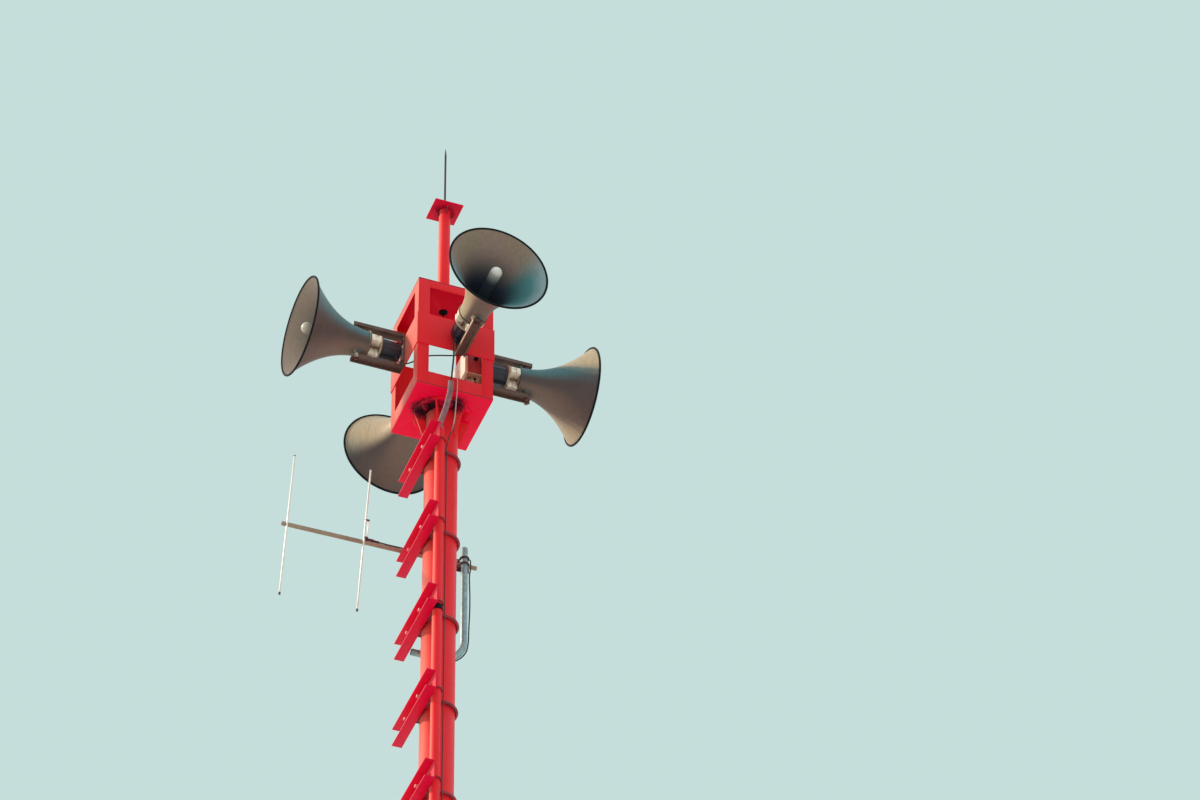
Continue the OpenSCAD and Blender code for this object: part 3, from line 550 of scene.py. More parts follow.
def arc(x: float, y: float, radius: float, first: float, step: float,
        count: int) -> list[tuple[float, float]]:
    """Returns points on a circle about (x, y), from a first angle on by a step, in degrees."""
    angles = (math.radians(first + step * i) for i in range(count))
    return [(x + radius * math.cos(a), y + radius * math.sin(a)) for a in angles]


def make_piece(name: str, shape: Shape, slot: str, finish: Finish | None = None,
               smooth: float = 38.0) -> bpy.types.Object:
    """Makes a piece of a shape.

    Args:
        name: the piece's name.
        shape: its mesh, which is used up.
        slot: the record's material slot.
        finish: its finish, if it isn't the slot's own.
        smooth: edges flatter than this angle are shaded smooth.

    Returns:
        The piece, which rides on nothing yet.
    """
    mesh = bpy.data.meshes.new(name)
    shape.to_mesh(mesh)
    shape.free()
    mesh.shade_smooth()
    mesh.set_sharp_from_angle(angle=math.radians(smooth))
    piece = bpy.data.objects.new(name, mesh)
    bpy.context.scene.collection.objects.link(piece)
    mesh.materials.append((finish or FINISHES[slot]).make())
    return piece


def finish_piece(name: str, shape: Shape, slot: str, body: str = "tower",
                 finish: Finish | None = None, replaces: str = "") -> None:
    """Makes a piece of a shape that rides on a body.

    Args:
        name: the piece's name.
        shape: its mesh, which is used up.
        slot: the record's material slot.
        body: the body that it rides on.
        finish: its finish, if it isn't the slot's own.
        replaces: the CAD node that it stands for, if there is one.
    """
    faces = len(shape.faces)
    piece = make_piece(name, shape, slot, finish)
    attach(piece, body)
    if replaces:
        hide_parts(replaces)
    log.info("%s: %d faces on %s", name, faces, body)


def round_edges(shape: Shape, width: float) -> None:
    """Rounds the edges at which a shape turns by more than 50 degrees.

    Args:
        shape: the shape.
        width: width of the rounding.
    """
    sharp = [edge for edge in shape.edges
             if len(edge.link_faces) == 2 and edge.calc_face_angle(0.0) > math.radians(50)]
    bmesh.ops.bevel(shape, geom=sharp, offset=width, offset_type="OFFSET", segments=2,
                    profile=0.5, affect="EDGES", clamp_overlap=True, material=-1)


def dress_node(node: str, rounding: float = 1.2 * MM, finish: Finish | None = None) -> None:
    """Makes a rounded, smoothly shaded copy of a CAD node that stands for it.

    Args:
        node: the CAD node.
        rounding: width of the rounding on its sharp edges.
        finish: its finish, if it isn't its slot's own.
    """
    shape = bmesh.new()
    shape.from_mesh(frame["nodes"][node].data)
    bmesh.ops.remove_doubles(shape, verts=shape.verts, dist=0.02 * MM)
    bmesh.ops.dissolve_limit(shape, angle_limit=math.radians(0.6), verts=shape.verts,
                             edges=shape.edges)
    if rounding:
        round_edges(shape, rounding)
    finish_piece(f"{node}_dressed", shape, SLOTS[node], BODIES[node], finish, node)


def spin_outline(outline: Sequence[tuple[float, float]], steps: int) -> Shape:
    """Spins a closed outline of (radius, height) pairs round the Z axis.

    Args:
        outline: the outline, where two points in a row on the axis are not joined.
        steps: segments round the axis.

    Returns:
        The shape.
    """
    shape = bmesh.new()
    ring = [shape.verts.new((radius, 0, height)) for radius, height in outline]
    edges = [shape.edges.new(pair) for pair in zip(ring, ring[1:] + ring[:1])
             if pair[0].co.x or pair[1].co.x]
    bmesh.ops.spin(shape, geom=ring + edges, cent=(0, 0, 0), axis=(0, 0, 1), dvec=(0, 0, 0),
                   angle=math.tau, steps=steps, use_merge=True, use_normal_flip=False,
                   use_duplicate=False)
    bmesh.ops.remove_doubles(shape, verts=shape.verts, dist=0.01 * MM)
    bmesh.ops.recalc_face_normals(shape, faces=shape.faces)
    return shape


def add_shape(target: Shape, source: Shape, place: Matrix) -> None:
    """Adds a copy of a shape to another one.

    Args:
        target: the shape that it is added to.
        source: the shape that is copied.
        place: where the copy goes.
    """
    mesh = bpy.data.meshes.new("scratch")
    source.to_mesh(mesh)
    mesh.transform(place)
    target.from_mesh(mesh)
    bpy.data.meshes.remove(mesh)


def cylinder(target: Shape, place: Matrix, radius: float, height: float, segments: int = 24,
             top: float | None = None, edge: float = 0.0) -> None:
    """Adds a closed cylinder or cone that stands on its place and runs along its +Z.

    Args:
        target: the shape that it is added to.
        place: where it stands.
        radius: its foot's radius.
        height: its height.
        segments: its sides.
        top: its top's radius, if it differs.
        edge: width of the rounding on its end edges.
    """
    part = bmesh.new()
    bmesh.ops.create_cone(part, cap_ends=True, segments=segments, radius1=radius,
                          radius2=radius if top is None else top, depth=height,
                          matrix=raised(height / 2))
    if edge:
        round_edges(part, edge)
    add_shape(target, part, place)
    part.free()


def block(target: Shape, low: Point, high: Point, place: Matrix = Matrix(),
          edge: float = 1.0 * MM) -> None:
    """Adds a box with rounded edges.

    Args:
        target: the shape that it is added to.
        low: its lowest corner, before it is placed.
        high: its highest corner.
        place: the turn and move that place it.
        edge: width of the rounding.
    """
    low, high = Vector(low), Vector(high)
    part = bmesh.new()
    bmesh.ops.create_cube(part, size=1.0, matrix=Matrix.Translation((low + high) / 2)
                          @ Matrix.Diagonal((*(high - low), 1)))
    round_edges(part, edge)
    add_shape(target, part, place)
    part.free()


@dataclass(frozen=True)
class Fastener:
    """A hexagon nut or bolt head that stands on the XY plane. Sizes are in millimetres.

    It may have a washer under it, of some thickness, and a tail of thread out of it.
    """
    across: float
    height: float
    washer: float = 0.0
    tail: float = 0.0

    def build(self) -> Shape:
        """Builds its shape.

        Returns:
            The shape.
        """
        across, height, washer, tail = (
            size * MM for size in (self.across, self.height, self.washer, self.tail))
        corner = across / math.sqrt(3)
        shape = bmesh.new()
        if washer:
            cylinder(shape, Matrix(), across * 0.72, washer, 16)
        cylinder(shape, raised(washer), corner, height * 0.8, 6)
        cylinder(shape, raised(washer + height * 0.8), corner, height * 0.2, 6, top=across * 0.48)
        if tail:
            cylinder(shape, raised(washer + height), across * 0.31, tail, 10, edge=across * 0.04)
        return shape

    def fasten(self, name: str, places: Iterable[Matrix], finish: Finish | None = None,
               slot: str = "clamp_steel") -> None:
        """Adds a copy at each place, all of them as one piece of the tower.

        Args:
            name: the piece's name.
            places: where the copies stand.
            finish: its finish, if it isn't the slot's own.
            slot: the record's material slot.
        """
        part, shape = self.build(), bmesh.new()
        for place in places:
            add_shape(shape, part, place)
        part.free()
        finish_piece(name, shape, slot, finish=finish)


def smooth_line(points: Sequence[Point], steps: int = 4) -> list[Vector]:
    """Draws the smooth curve through chosen points, as the part's source does.

    Args:
        points: the chosen points.
        steps: stretches of the curve from each of them to the next.

    Returns:
        The curve's own points.
    """
    line = []
    last = len(points) - 1
    for i in range(last):
        a, b, c, d = (Vector(points[j]) for j in (max(i - 1, 0), i, i + 1, min(i + 2, last)))
        for j in range(steps):
            t = j / steps
            line.append(0.5 * (2 * b + (c - a) * t + (2 * a - 5 * b + 4 * c - d) * t * t
                               + (3 * b - a - 3 * c + d) * t ** 3))
    return line + [Vector(points[-1])]


def tube(name: str, path: Sequence[Vector], diameter: float) -> Shape:
    """Builds a closed round tube with twelve sides along a path.

    Args:
        name: its curve's name.
        path: the points along its middle.
        diameter: its diameter.

    Returns:
        The shape.
    """
    curve = bpy.data.curves.new(name, "CURVE")
    curve.dimensions = "3D"
    curve.bevel_depth = diameter / 2
    curve.bevel_resolution = 2
    curve.use_fill_caps = True
    line = curve.splines.new("POLY")
    line.points.add(len(path) - 1)
    for point, place in zip(line.points, path):
        point.co = (*place, 1)
    holder = bpy.data.objects.new(name, curve)
    bpy.context.scene.collection.objects.link(holder)
    bpy.context.view_layer.update()
    mesh = bpy.data.meshes.new_from_object(
        holder.evaluated_get(bpy.context.evaluated_depsgraph_get()))
    shape = bmesh.new()
    shape.from_mesh(mesh)
    bmesh.ops.remove_doubles(shape, verts=shape.verts, dist=0.005 * MM)
    bpy.data.objects.remove(holder)
    bpy.data.curves.remove(curve)
    bpy.data.meshes.remove(mesh)
    return shape


# Camera, light and floor

@dataclass
class Studio:
    """The camera at the photograph's place, the lights, the floor and the background.

    Angles are in degrees, and the camera's place is measured from the head's underside.
    """
    place: tuple[float, float, float] = (-4.5742, -13.3550, -12.7803)
    azimuth: float = -22.116
    elevation: float = -42.396
    roll: float = -1.296
    focal_px: float = 3821.2
    width_px: float = 1200.0
    sensor_mm: float = 36.0
    sight: float = 400.0
    sun_energy: float = 3.0
    sun_width: float = 5.0
    sun_colour: str = "#ffeacf"
    sky_light: str = "#e4eff1"
    sky_seen: str = "#c6dedb"
    floor_colour: str = "#cfcfca"
    floor_roughness: float = 0.8
    floor_side: float = 90.0

    def build(self) -> None:
        """Builds all of it."""
        self.build_camera()
        self.build_light()
        self.build_floor()
        log.info("studio: camera, light and floor")

    def build_camera(self) -> None:
        """Places the camera."""
        azimuth, elevation, roll = (math.radians(a)
                                    for a in (self.azimuth, self.elevation, self.roll))
        back = Vector((math.sin(azimuth) * math.cos(elevation),
                       -math.cos(azimuth) * math.cos(elevation), math.sin(elevation)))
        right = Vector((0, 0, 1)).cross(back).normalized()
        up = back.cross(right)
        side = math.cos(roll) * right + math.sin(roll) * up
        top = -math.sin(roll) * right + math.cos(roll) * up
        lens = bpy.data.cameras.new("photo_camera")
        lens.sensor_fit = "HORIZONTAL"
        lens.sensor_width = self.sensor_mm
        lens.lens = self.focal_px / self.width_px * self.sensor_mm
        lens.clip_end = self.sight
        camera = bpy.data.objects.new("photo_camera", lens)
        spot = Vector(self.place) + Vector((0, 0, HEAD_Z))
        turn = Matrix((side, top, back)).transposed().to_4x4()
        camera.matrix_world = Matrix.Translation(spot) @ turn
        bpy.context.scene.collection.objects.link(camera)
        bpy.context.scene.camera = camera

    def build_light(self) -> None:
        """Adds a soft sun from the left, and a pale sky that is plain for the camera."""
        lamp = bpy.data.lights.new("key_sun", "SUN")
        lamp.energy = self.sun_energy
        lamp.angle = math.radians(self.sun_width)
        lamp.color = linear(self.sun_colour)[:3]
        key = bpy.data.objects.new("key_sun", lamp)
        key.matrix_world = aim((-40, 20, 30), SUN)
        bpy.context.scene.collection.objects.link(key)
        world = bpy.data.worlds.new("pale_sky")
        bpy.context.scene.world = world
        world.use_nodes = True
        tree = world.node_tree
        tree.nodes.clear()
        path = add_node(tree, "LightPath")
        light, seen = (add_node(tree, "Background", {"Color": linear(colour)})
                       for colour in (self.sky_light, self.sky_seen))
        pick = add_node(tree, "MixShader", {
            0: path.outputs["Is Camera Ray"], 1: light.outputs[0], 2: seen.outputs[0]})
        add_node(tree, "OutputWorld", {"Surface": pick.outputs[0]})
        bpy.context.scene.view_settings.view_transform = "Standard"

    def build_floor(self) -> None:
        """Adds the plain pale floor."""
        shape = bmesh.new()
        bmesh.ops.create_grid(shape, x_segments=1, y_segments=1, size=self.floor_side / 2)
        mesh = bpy.data.meshes.new("floor")
        shape.to_mesh(mesh)
        shape.free()
        floor = bpy.data.objects.new("floor", mesh)
        paint = bpy.data.materials.new("Pale_floor")
        paint.use_nodes = True
        shader = paint.node_tree.nodes["Principled BSDF"]
        shader.inputs["Base Color"].default_value = linear(self.floor_colour)
        shader.inputs["Roughness"].default_value = self.floor_roughness
        mesh.materials.append(paint)
        bpy.context.scene.collection.objects.link(floor)


# Horns

def in_sun(point: Vector) -> float:
    """Works out how much of the afternoon sun comes past the head to a point.

    Args:
        point: the point.

    Returns:
        The share of it, from 0.0 to 1.0.
    """
    sides = ((-HEAD_W / 2, HEAD_W / 2), (-HEAD_W / 2, HEAD_W / 2), (HEAD_Z, HEAD_Z + HEAD_H))
    past = 0
    for across in SUN_EDGE:
        for rise in SUN_EDGE:
            near, far = 0.0, math.inf
            for axis, way in enumerate((SUN.x, SUN.y + across, SUN.z + rise)):
                ends = sorted((edge - point[axis]) / way for edge in sides[axis])
                near, far = max(near, ends[0]), min(far, ends[1])
            past += near >= far
    return past / len(SUN_EDGE) ** 2


@dataclass
class Horn:
    """One horn loudspeaker on its bracket, built along +Z from the tower's axis.

    Its turn about the tower, its pan about its pivots and its cable gland's turn are in degrees.
    Its shift and its rise are from the middle of its side of the head.
    """
    name: str
    turn: float
    shift: float = 0.0
    rise: float = 0.0
    pan: float = 0.0
    gland_turn: float = -30.0
    mouth_d: float = 528 * MM
    neck_d: float = 150 * MM
    bell_len: float = 362 * MM
    flare: float = 2.2
    wall: float = 3 * MM
    lip: float = 2 * MM
    reach: float = 554 * MM
    bead: float = 11 * MM
    boss_d: float = 40 * MM
    tube_d: float = 60 * MM
    tube_inset: float = 12 * MM
    driver_d: float = 113 * MM
    driver_len: float = 110 * MM
    driver_gap: float = 18.5 * MM
    driver_ribs: int = 12
    gland_z: float = 27 * MM
    gland_len: float = 21 * MM
    plate_d: float = 130 * MM
    plate_t: float = 9 * MM
    neck_plate_d: float = 116 * MM
    neck_plate_t: float = 5 * MM
    core_d: float = 62 * MM
    stud_reach: float = 50 * MM
    pivot_reach: float = 245 * MM
    bracket_t: float = 6 * MM
    arm_t: float = 5 * MM
    arm_gap: float = 19 * MM
    seat: float = 0.3 * MM

    def __post_init__(self) -> None:
        """Works out the lengths and places that follow from the sizes."""
        self.mouth = FACE + self.reach
        self.neck = self.mouth - self.bell_len
        self.pivot = FACE + self.pivot_reach
        self.driver_foot = FACE + self.driver_gap
        self.driver_front = self.driver_foot + self.driver_len
        self.pivot_r = self.radius(self.reach - self.pivot_reach)
        self.arm = self.pivot_r + self.arm_gap
        side = rotated(self.turn) @ Matrix.Translation((self.shift, 0, AXIS_Z + self.rise))
        about = Matrix.Translation((0, -self.pivot, 0))
        self.bracket_place = side @ rotated(90, "X")
        self.place = side @ about @ rotated(self.pan) @ about.inverted() @ rotated(90, "X")

    def radius(self, depth: float) -> float:
        """Returns the bell's radius with its rim at a depth behind the mouth."""
        return (self.neck_d / 2 + (self.mouth_d - self.neck_d) / 2
                * max(0.0, 1 - depth / self.bell_len) ** self.flare)

    def piece(self, part: str, shape: Shape, slot: str, finish: Finish | None = None) -> None:
        """Places a shape as this horn's part, which stands for the CAD node of that name."""
        bmesh.ops.transform(shape, matrix=self.place, verts=shape.verts)
        finish_piece(f"{self.name}_{part}_dressed", shape, slot, f"{self.name}_horn", finish,
                     f"{self.name}_{part.split('_')[0]}")

    def mark_places(self, shape: Shape, inner: bool = False) -> None:
        """Gives each point the four values that the horn's finish reads.

        Args:
            shape: the mesh, in the horn's own frame.
            inner: whether all of it stands in the mouth.
        """
        depth, upness, sunlit, inside = (
            shape.verts.layers.float.new(name)
            for name in ("depth", "facing_up", "sunlit", "inside"))
        shape.normal_update()
        turned = self.place.to_3x3()
        into_mouth = max(0.0, (turned @ Vector((0, 0, 1))).dot(SUN))
        for vert in shape.verts:
            out = Vector((vert.co.x, vert.co.y, 0))
            normal = turned @ vert.normal
            within = (inner or out.normalized().dot(vert.normal) < -0.2
                      or out.length < self.neck_d / 2 - 12 * MM)
            # painted sunlight: the sun on the point, less the head's cast shadow
            direct = max(0.0, normal.dot(SUN)) * in_sun(self.place @ vert.co)
            vert[inside] = float(within)
            vert[depth] = (self.mouth - vert.co.z) / self.bell_len
            on_boss = out.length > self.radius(self.mouth - vert.co.z) + 6 * MM
            # facing the bright sky sets the painted sky reflection
            sky = normal.dot(BRIGHT_SKY) if within else normal.z
            vert[upness] = 0.2 if on_boss else 0.5 + 0.5 * sky
            vert[sunlit] = into_mouth if within else direct

    def build(self) -> None:
        """Builds the horn's parts."""
        self.build_bell()
        self.build_tube()
        self.build_rim()
        self.build_collar()
        self.build_driver()
        self.build_bolts()

    def bell_side(self, inset: float = 0.0) -> list[tuple[float, float]]:
        """Works out one side of the bell's wall, from mouth to neck.

        Args:
            inset: how far in from the outer side it is.

        Returns:
            Its points, as pairs of radius and height.
        """
        steps = 44
        run = self.bell_len - self.lip - inset
        return [(self.radius(depth) - self.bead / 2 - inset,
                 self.mouth - self.lip - depth * run / self.bell_len)
                for depth in (self.bell_len * i / steps for i in range(steps + 1))]

    def build_bell(self) -> None:
        """Spins the flared bell with its rolled neck ring, and adds its two pivot bosses."""
        neck, radius = self.neck, self.neck_d / 2
        ring = [(radius - 5.5 * MM, neck + 7 * MM), (radius - 1 * MM, neck + 7 * MM),
                (radius, neck + 6 * MM), (radius, neck)]
        shape = spin_outline([*self.bell_side()[:-1], *ring, (0.0, neck), (0.0, neck + self.wall),
                              *reversed(self.bell_side(self.wall))], 128)
        start = self.pivot_r - 8 * MM
        boss_r = self.boss_d / 2
        for side in (-1, 1):
            place = aim((0, side * start, self.pivot), (0, side, 0))
            cylinder(shape, place, boss_r, self.arm - start - self.seat, 32, edge=1.5 * MM)
            cylinder(shape, place, boss_r + 7 * MM, 7 * MM, 32, top=boss_r + 0.5 * MM)
        self.mark_places(shape)
        self.piece("bell", shape, "horn_shell")

    def build_tube(self) -> None:
        """Spins the round-nosed tube that stands in the bell's throat."""
        tip = self.tube_d / 2
        start = self.neck + self.wall + self.seat
        end = self.mouth - self.tube_inset - tip
        shape = spin_outline([(0.0, start), (tip, start), (tip, end - 60 * MM),
                              *arc(0.0, end, tip, 0, 7.5, 12), (0.0, end + tip)], 64)
        self.mark_places(shape, inner=True)
        self.piece("plug", shape, "horn_tube")

    def build_rim(self) -> None:
        """Spins the rubber bead that is pushed over the mouth's edge."""
        bead = self.bead / 2
        middle = (self.mouth_d - self.bead) / 2 - self.lip
        outline = arc(middle, self.mouth - bead, bead, 0, 22.5, 16)
        self.piece("rim", spin_outline(outline, 128), "rim_rubber")

    def build_collar(self) -> None:
        """Builds the cast collar: its plate, core and neck plate, and its four waisted lugs."""
        back = self.driver_front + self.seat
        length = self.neck - self.seat - back
        plate = bmesh.new()
        cylinder(plate, raised(back), self.plate_d / 2, self.plate_t, 64, edge=1.5 * MM)
        cylinder(plate, raised(back + length - self.neck_plate_t), self.neck_plate_d / 2,
                 self.neck_plate_t, 64, edge=1 * MM)
        cylinder(plate, raised(back + 1 * MM), self.core_d / 2, length - 2 * MM, 48)
        self.piece("collar_plate", plate, "collar_paint", PLATE_CAST)
        lugs = bmesh.new()
        wide, waist = (72 * MM, 19 * MM), (66 * MM, 12 * MM)
        for i in range(4):
            for (out, half), low, high in ((wide, 9.2 * MM, 26 * MM),
                                           (wide, length - 24 * MM, length - 0.2 * MM),
                                           (waist, 20 * MM, length - 18 * MM)):
                block(lugs, (27 * MM, -half, back + low), (out, half, back + high),
                      rotated(90 * i), 3 * MM)
        self.piece("collar_lugs", lugs, "collar_paint")

    def build_driver(self) -> None:
        """Builds the compression driver's case with its ribs and its cable gland."""
        edge, radius = 16 * MM, self.driver_d / 2 - 3 * MM
        foot, front = self.driver_foot, self.driver_front
        shape = spin_outline([(0.0, foot), *arc(radius - edge, foot + edge, edge, -90, 15, 7),
                              (radius, front - 12 * MM), (radius + 3 * MM, front - 9 * MM),
                              (radius + 3 * MM, front), (0.0, front)], 64)
        for i in range(self.driver_ribs):
            block(shape, (radius - 2 * MM, -2 * MM, foot + edge),
                  (radius + 2.4 * MM, 2 * MM, front - 10 * MM),
                  rotated(360 / self.driver_ribs * i), 0.8 * MM)
        place = rotated(self.gland_turn) @ aim(
            (0, 5 * MM - self.driver_d / 2, foot + self.gland_z), (0, -1, 0))
        nut = 11 * MM
        cylinder(shape, place, 10 * MM, nut, 6)
        cylinder(shape, place @ raised(nut), 9 * MM, self.gland_len - nut, 20, top=6.5 * MM,
                 edge=1 * MM)
        self.piece("driver", shape, "driver_case")

    def build_bolts(self) -> None:
        """Adds the bolts: on the bracket's plate, at the pivots and through the collar."""
        Fastener(17, 8, 2).fasten(f"{self.name}_bracket_bolts", [
            self.bracket_place @ aim((x, y, FACE + self.bracket_t), (0, 0, 1))
            for x in (-13 * MM, 13 * MM) for y in (-68 * MM, 68 * MM)], OLD_FASTENER)
        Fastener(19, 9, 3, 5).fasten(f"{self.name}_pivot_bolts", [
            self.bracket_place @ aim((0, side * (self.arm + self.arm_t), self.pivot),
                                     (0, side, 0)) for side in (-1, 1)], OLD_FASTENER)
        Fastener(17, 10, 2).fasten(f"{self.name}_arm_end_bolt", [
            self.bracket_place @ aim((25 * MM, -self.arm - 16 * MM, self.pivot + 10 * MM),
                                     (1, 0, 0))], FASTENER)
        back, front = self.driver_front + self.plate_t, self.neck - self.neck_plate_t
        nut, studs = Fastener(13, 6).build(), bmesh.new()
        for i in range(4):
            turn = self.place @ rotated(45 + 90 * i)
            place = turn @ Matrix.Translation((self.stud_reach, 0, back))
            cylinder(studs, place, 4 * MM, front - back, 12)
            for height, way in ((back, 1), (front, -1)):
                add_shape(studs, nut, turn @ aim((self.stud_reach, 0, height), (0, 0, way)))
        nut.free()
        finish_piece(f"{self.name}_collar_studs", studs, "clamp_steel", f"{self.name}_horn",
                     OLD_FASTENER)

    def gland_point(self, past: float) -> Vector:
        """Finds a point on the axis of the driver's cable gland.

        Args:
            past: how far past the gland's face it is.

        Returns:
            The point.
        """
        turn = math.radians(self.gland_turn)
        out = self.driver_d / 2 + self.gland_len - 5 * MM + past
        return self.place @ Vector((math.sin(turn) * out, -math.cos(turn) * out,
                                    self.driver_foot + self.gland_z))


HORNS = {horn.name: horn for horn in (
    Horn("front", 0, shift=19 * MM, rise=-20 * MM, pan=1.4), Horn("right", 90),
    Horn("back", 180, pan=3.5),
    Horn("left", -90, shift=-14 * MM, rise=3 * MM, pan=2.8, gland_turn=30))}


# Cables and ironwork

# The junction box's glands: their length and each one's foot, in millimetres, and its way
BOX_GLAND_LEN = 13
BOX_GLANDS: dict[str, tuple[Point, Point]] = {
    "right": ((162, -34, 292), (0, 0, -1)), "left": ((158, -55.5, 390), (0, -1, 0)),
    "back": ((158, 119.5, 352), (0, 1, 0))}


@dataclass
class Cables:
    """The cables, along the routes of the part's source, from the head's underside."""
    lead_d: float = 7 * MM
    riser_d: float = 9 * MM

    def build(self) -> None:
        routes = {
            "left": [(-248, -27, 284), (-241, -30, 269), (-225, -37, 257), (-200, -52, 252),
                     (-150, -76, 275), (-100, -92, 302), (30, -92, 345), (100, -92, 372),
                     (138, -92, 387)],
            "back": [(64, 246, 283), (62, 240, 268), (62, 226, 254), (66, 204, 246),
                     (80, 184, 254), (104, 172, 284), (130, 168, 318), (149, 160, 342)],
            "right": [(246, -50, 283), (240, -51, 268), (228, -49, 251), (212, -46, 240),
                      (195, -42, 235), (178, -38, 239), (166, -35, 251)]}
        for horn, points in routes.items():
            foot, way = (Vector(v) for v in BOX_GLANDS[horn])
            ends = [foot + (BOX_GLAND_LEN + past) * way for past in (10, 5, 0.3)]
            self.lead(f"{horn}_lead", horn, [*points, *ends], self.lead_d, "driver_leads")
        riser = [(-33.3, -226, -12), (-33.3, -230, 12), (-31.3, -234, 50), (-29, -238, 100),
                 (-27, -243, 150), (-25.5, -246.5, 190), (-26.5, -248.5, 222),
                 (-29.5, -250.5, 248), (-31, -251.3, 262), (-30.2, -251.5, 272)]
        self.lead("riser_lead", "front", riser[::-1], self.riser_d, "riser_cable")
        for node in ("control_cable", "feed_cable"):
            dress_node(node, 0.0)

    def lead(self, name: str, horn: str, points: list[Point], diameter: float,
             node: str) -> None:
        """Builds a lead that starts on a horn's driver.

        Args:
            name: the lead's name.
            horn: the horn's name.
            points: its route from the driver's gland on, in millimetres.
            diameter: its diameter.
            node: the CAD node that it stands for.
        """
        start = [HORNS[horn].gland_point(past * MM) for past in (0.3, 5, 10)]
        path = smooth_line([*start, *map(from_head, points)])
        piece = make_piece(name, tube(name, path, diameter), "black_cable", smooth=50)
        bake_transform(piece)
        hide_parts(node)


@dataclass
class Ironwork:
    """The nodes that keep their CAD shape, with rounded edges, and the small things on them."""
    nodes: tuple[str, ...] = (
        "base_plate", "mast_lower", "mast_middle", "mast_upper", "head_flange", "bottom_plate",
        "corner_posts", "bottom_rails", "mid_panels", "top_rails", "top_plate", "top_pole",
        "cap_plate", "lightning_rod", "steps", "step_clamps", "riser_pipe", "riser_head",
        "antenna_support", "antenna_boom", "antenna_elements", "antenna_clamp", "junction_box",
        "front_bracket", "right_bracket", "back_bracket", "left_bracket")
    box_low: tuple[float, float, float] = (116, -55.5, 292)
    box_high: tuple[float, float, float] = (198, 117, 442)
    first_step: float = 267 * MM
    pitch: float = 515 * MM
    step_count: int = 23
    step_half: float = 50 * MM
    step_web: float = -93.6 * MM
    bolt_y: float = 90.9 * MM
    riser: tuple[float, float] = (-64.3 * MM, -165 * MM)
    clip_y: float = 28.6 * MM
    band_drop: float = 1394 * MM
    head_ring: float = 123 * MM
    flange_t: float = 12 * MM
    plate_t: float = 6 * MM
    joint_steps: tuple[int, int] = (8, 17)
    joint_drop: float = 307.5 * MM
    joint_ring: float = 118 * MM
    joint_t: float = 16 * MM
    base_t: float = 28 * MM
    anchor_reach: float = 190 * MM
    boom_y: float = 189.9 * MM
    boom_drop: float = 763 * MM
    antenna_lean: float = 10.9
    matched_x: float = -329 * MM

    def build(self) -> None:
        """Builds all of it."""
        own = {"steps": SHADED_STEP_RED, "riser_head": CONDUIT, "bottom_plate": UNDER_RED,
               "step_clamps": PAINTED_CLAMP, "cap_plate": CAP_RED}
        for node in self.nodes:
            dress_node(node, finish=own.get(node))
        self.build_box_faces()
        self.build_grommet()
        self.build_riser_band()
        self.build_caps()
        self.build_seams()
        self.build_step_nuts()
        self.build_flange_bolts()
        self.build_anchors()

    def build_box_faces(self) -> None:
        """Adds the box's front and base panels, whose colours are painted shade, and its glands.
        """
        (left, front, base), (right, rear, top) = (
            (x * MM, y * MM, HEAD_Z + z * MM) for x, y, z in (self.box_low, self.box_high))
        face = bmesh.new()
        block(face, (left, front - 1.2 * MM, base + 2 * MM), (right, front + 1 * MM, top - 2 * MM))
        finish_piece("box_front_panel", face, "box_shell", finish=BOX_SHADED_FRONT)
        under = bmesh.new()
        block(under, (left, front + 2 * MM, base - 1.2 * MM), (right, rear, base + 1 * MM))
        gland_r, gland_len = 10.5 * MM, BOX_GLAND_LEN * MM
        for x, y in ((162 * MM, -34 * MM), (134 * MM, -30 * MM)):
            cylinder(under, aim((x, y, base), (0, 0, -1)), gland_r, gland_len, 24, edge=1 * MM)
        finish_piece("box_base_panel", under, "box_shell", finish=BOX_SHADED_BASE)
        glands = bmesh.new()
        for foot, way in (BOX_GLANDS["left"], BOX_GLANDS["back"]):
            cylinder(glands, aim(from_head(foot), way), gland_r, gland_len + 0.2 * MM, 24,
                     edge=1 * MM)
        finish_piece("box_side_glands", glands, "box_shell", finish=RUBBER)

    def build_grommet(self) -> None:
        """Adds the black blanking plug in the top plate's wire hole, with its drip nose."""
        outline = ((0, -44), (2.5, -43), (3.2, -14), (9, -6), (20, -3.2), (22.4, -1.6),
                   (22.4, 6.2), (0, 6.2))
        plug = spin_outline([(radius * MM, height * MM) for radius, height in outline], 32)
        bmesh.ops.transform(plug, matrix=raised(HEAD_Z + HEAD_H - self.plate_t), verts=plug.verts)
        finish_piece("wire_hole_plug", plug, "rim_rubber")

    def build_riser_band(self) -> None:
        """Adds the black band round the riser, under its clip on the third step."""
        band = bmesh.new()
        place = Matrix.Translation((*self.riser, HEAD_Z - self.band_drop))
        cylinder(band, place, 27.3 * MM, 32 * MM, 40, edge=1.5 * MM)
        finish_piece("riser_tape_band", band, "rim_rubber")

    def build_caps(self) -> None:
        """Adds the black end caps on the antenna's elements, and the insulators between."""
        caps = bmesh.new()
        lean = (Matrix.Translation((0, self.boom_y, HEAD_Z - self.boom_drop))
                @ rotated(self.antenna_lean, "X"))
        front = -15.8 * MM
        for x, up, down in ((-718 * MM, 380 * MM, 396 * MM), (self.matched_x, 403 * MM, 391 * MM)):
            for low, length in ((-down - 1 * MM, 13 * MM), (up - 3 * MM, 4 * MM)):
                place = lean @ Matrix.Translation((x, front, low))
                cylinder(caps, place, 5.4 * MM, length, 20, edge=0.8 * MM)
        for low in (14 * MM, 112 * MM):
            block(caps, (-4 * MM, -4 * MM, 0), (19 * MM, 4 * MM, 9 * MM),
                  lean @ Matrix.Translation((self.matched_x, front, low)))
        finish_piece("element_caps", caps, "element_rod", finish=CAP)

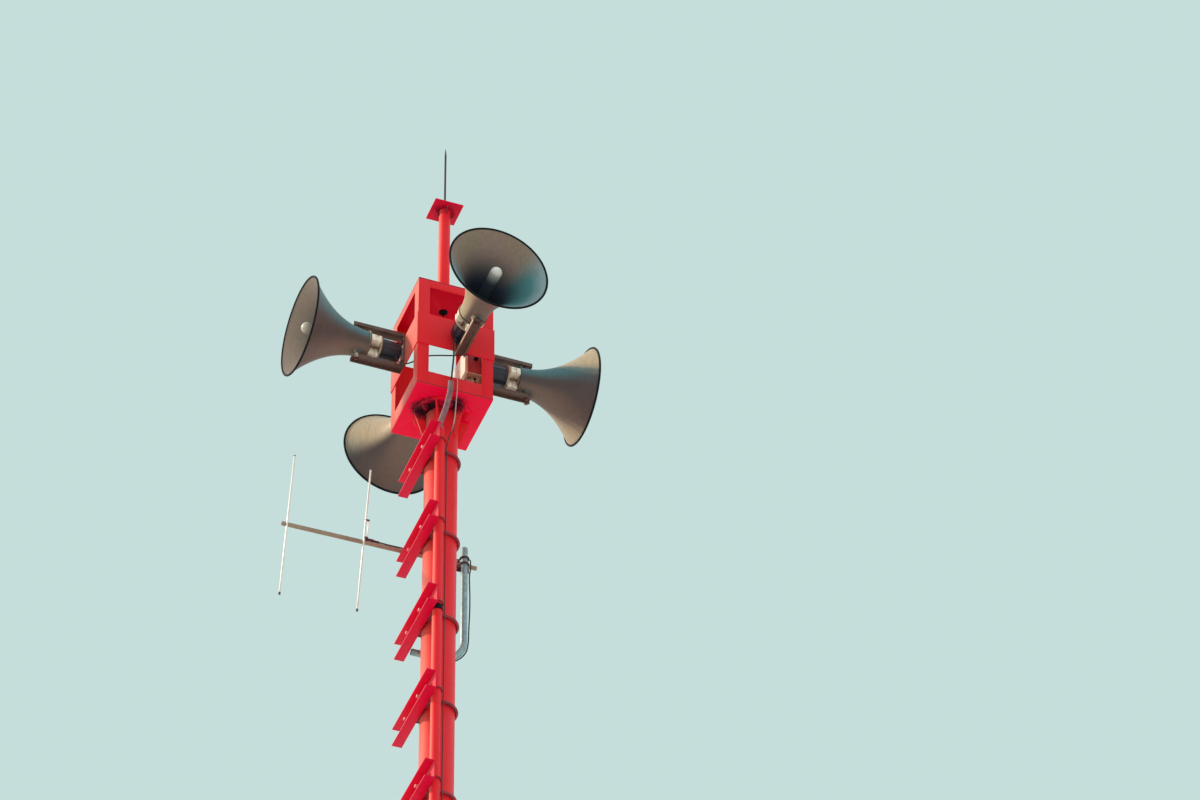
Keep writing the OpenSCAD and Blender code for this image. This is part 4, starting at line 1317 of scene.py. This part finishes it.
    def build_seams(self) -> None:
        """Adds painted shade: dark strips in the seams between the head's rails and its two
        plates.
        """
        seams = bmesh.new()
        half = HEAD_W / 2 + 0.5 * MM
        for low in (HEAD_Z + 5 * MM, HEAD_Z + HEAD_H - 8 * MM):
            for side in range(4):
                block(seams, (-half, -half, low), (half, -half + 2 * MM, low + 4 * MM),
                      rotated(90 * side))
        finish_piece("head_seams", seams, "red_paint", finish=SEAM_SHADE)

    def step_z(self, index: int, drop: float) -> float:
        """Returns the height at a drop below a step's top, with the uppermost step as 0."""
        return HEAD_Z - self.first_step - self.pitch * index - drop

    def build_step_nuts(self) -> None:
        """Adds the nuts inside the step channels, under the same enamel, and the thread tips."""
        heights = [self.step_z(k, self.step_half) for k in range(self.step_count)]
        bolts = [(y, z) for z in heights for y in (-self.bolt_y, self.bolt_y)]
        Fastener(24, 13, 3).fasten("step_nuts", [
            aim((self.step_web, y, z), (-1, 0, 0)) for y, z in bolts], slot="red_paint")
        Fastener(13, 6.5, 1.5).fasten("riser_clip_nuts", [
            aim((self.step_web, self.riser[1] + y, z), (-1, 0, 0))
            for z in heights for y in (-self.clip_y, self.clip_y)], slot="red_paint")
        tips = bmesh.new()
        for y, z in bolts:
            place = aim((self.step_web - 16 * MM, y, z), (-1, 0, 0))
            cylinder(tips, place, 8.3 * MM, 24 * MM, 20, edge=2 * MM)
        finish_piece("ubolt_tips", tips, "clamp_steel", finish=THREAD)

    def build_flange_bolts(self) -> None:
        """Adds the bolts under the head and through the mast's joints."""
        ring = arc(0, 0, self.head_ring, 30, 60, 6)
        Fastener(30, 13, 4, 9).fasten("head_flange_bolts", [
            aim((x, y, HEAD_Z - self.flange_t), (0, 0, -1)) for x, y in ring], slot="flange_steel")
        Fastener(30, 13, 4).fasten("head_flange_heads", [
            aim((x, y, HEAD_Z + self.plate_t), (0, 0, 1)) for x, y in ring],
            FASTENER, "flange_steel")
        joints = [self.step_z(k, self.joint_drop) for k in self.joint_steps]
        Fastener(30, 13, 4, 9).fasten("joint_bolts", [
            aim((x, y, z + way * self.joint_t), (0, 0, way)) for z in joints for way in (-1, 1)
            for x, y in arc(0, 0, self.joint_ring, 22.5, 45, 8)], slot="red_paint")

    def build_anchors(self) -> None:
        """Adds the anchor nuts on the base plate."""
        ends = (-self.anchor_reach, self.anchor_reach)
        Fastener(46, 24, 4, 22).fasten("anchor_nuts", [
            aim((x, y, self.base_t), (0, 0, 1)) for x in ends for y in ends], FASTENER)


def main() -> None:
    """Builds the scene in order."""
    logging.basicConfig(level=logging.INFO, format="%(name)s %(message)s")
    Studio().build()
    Cables().build()
    for horn in HORNS.values():
        horn.build()
    Ironwork().build()


if __name__ == "__main__":
    main()
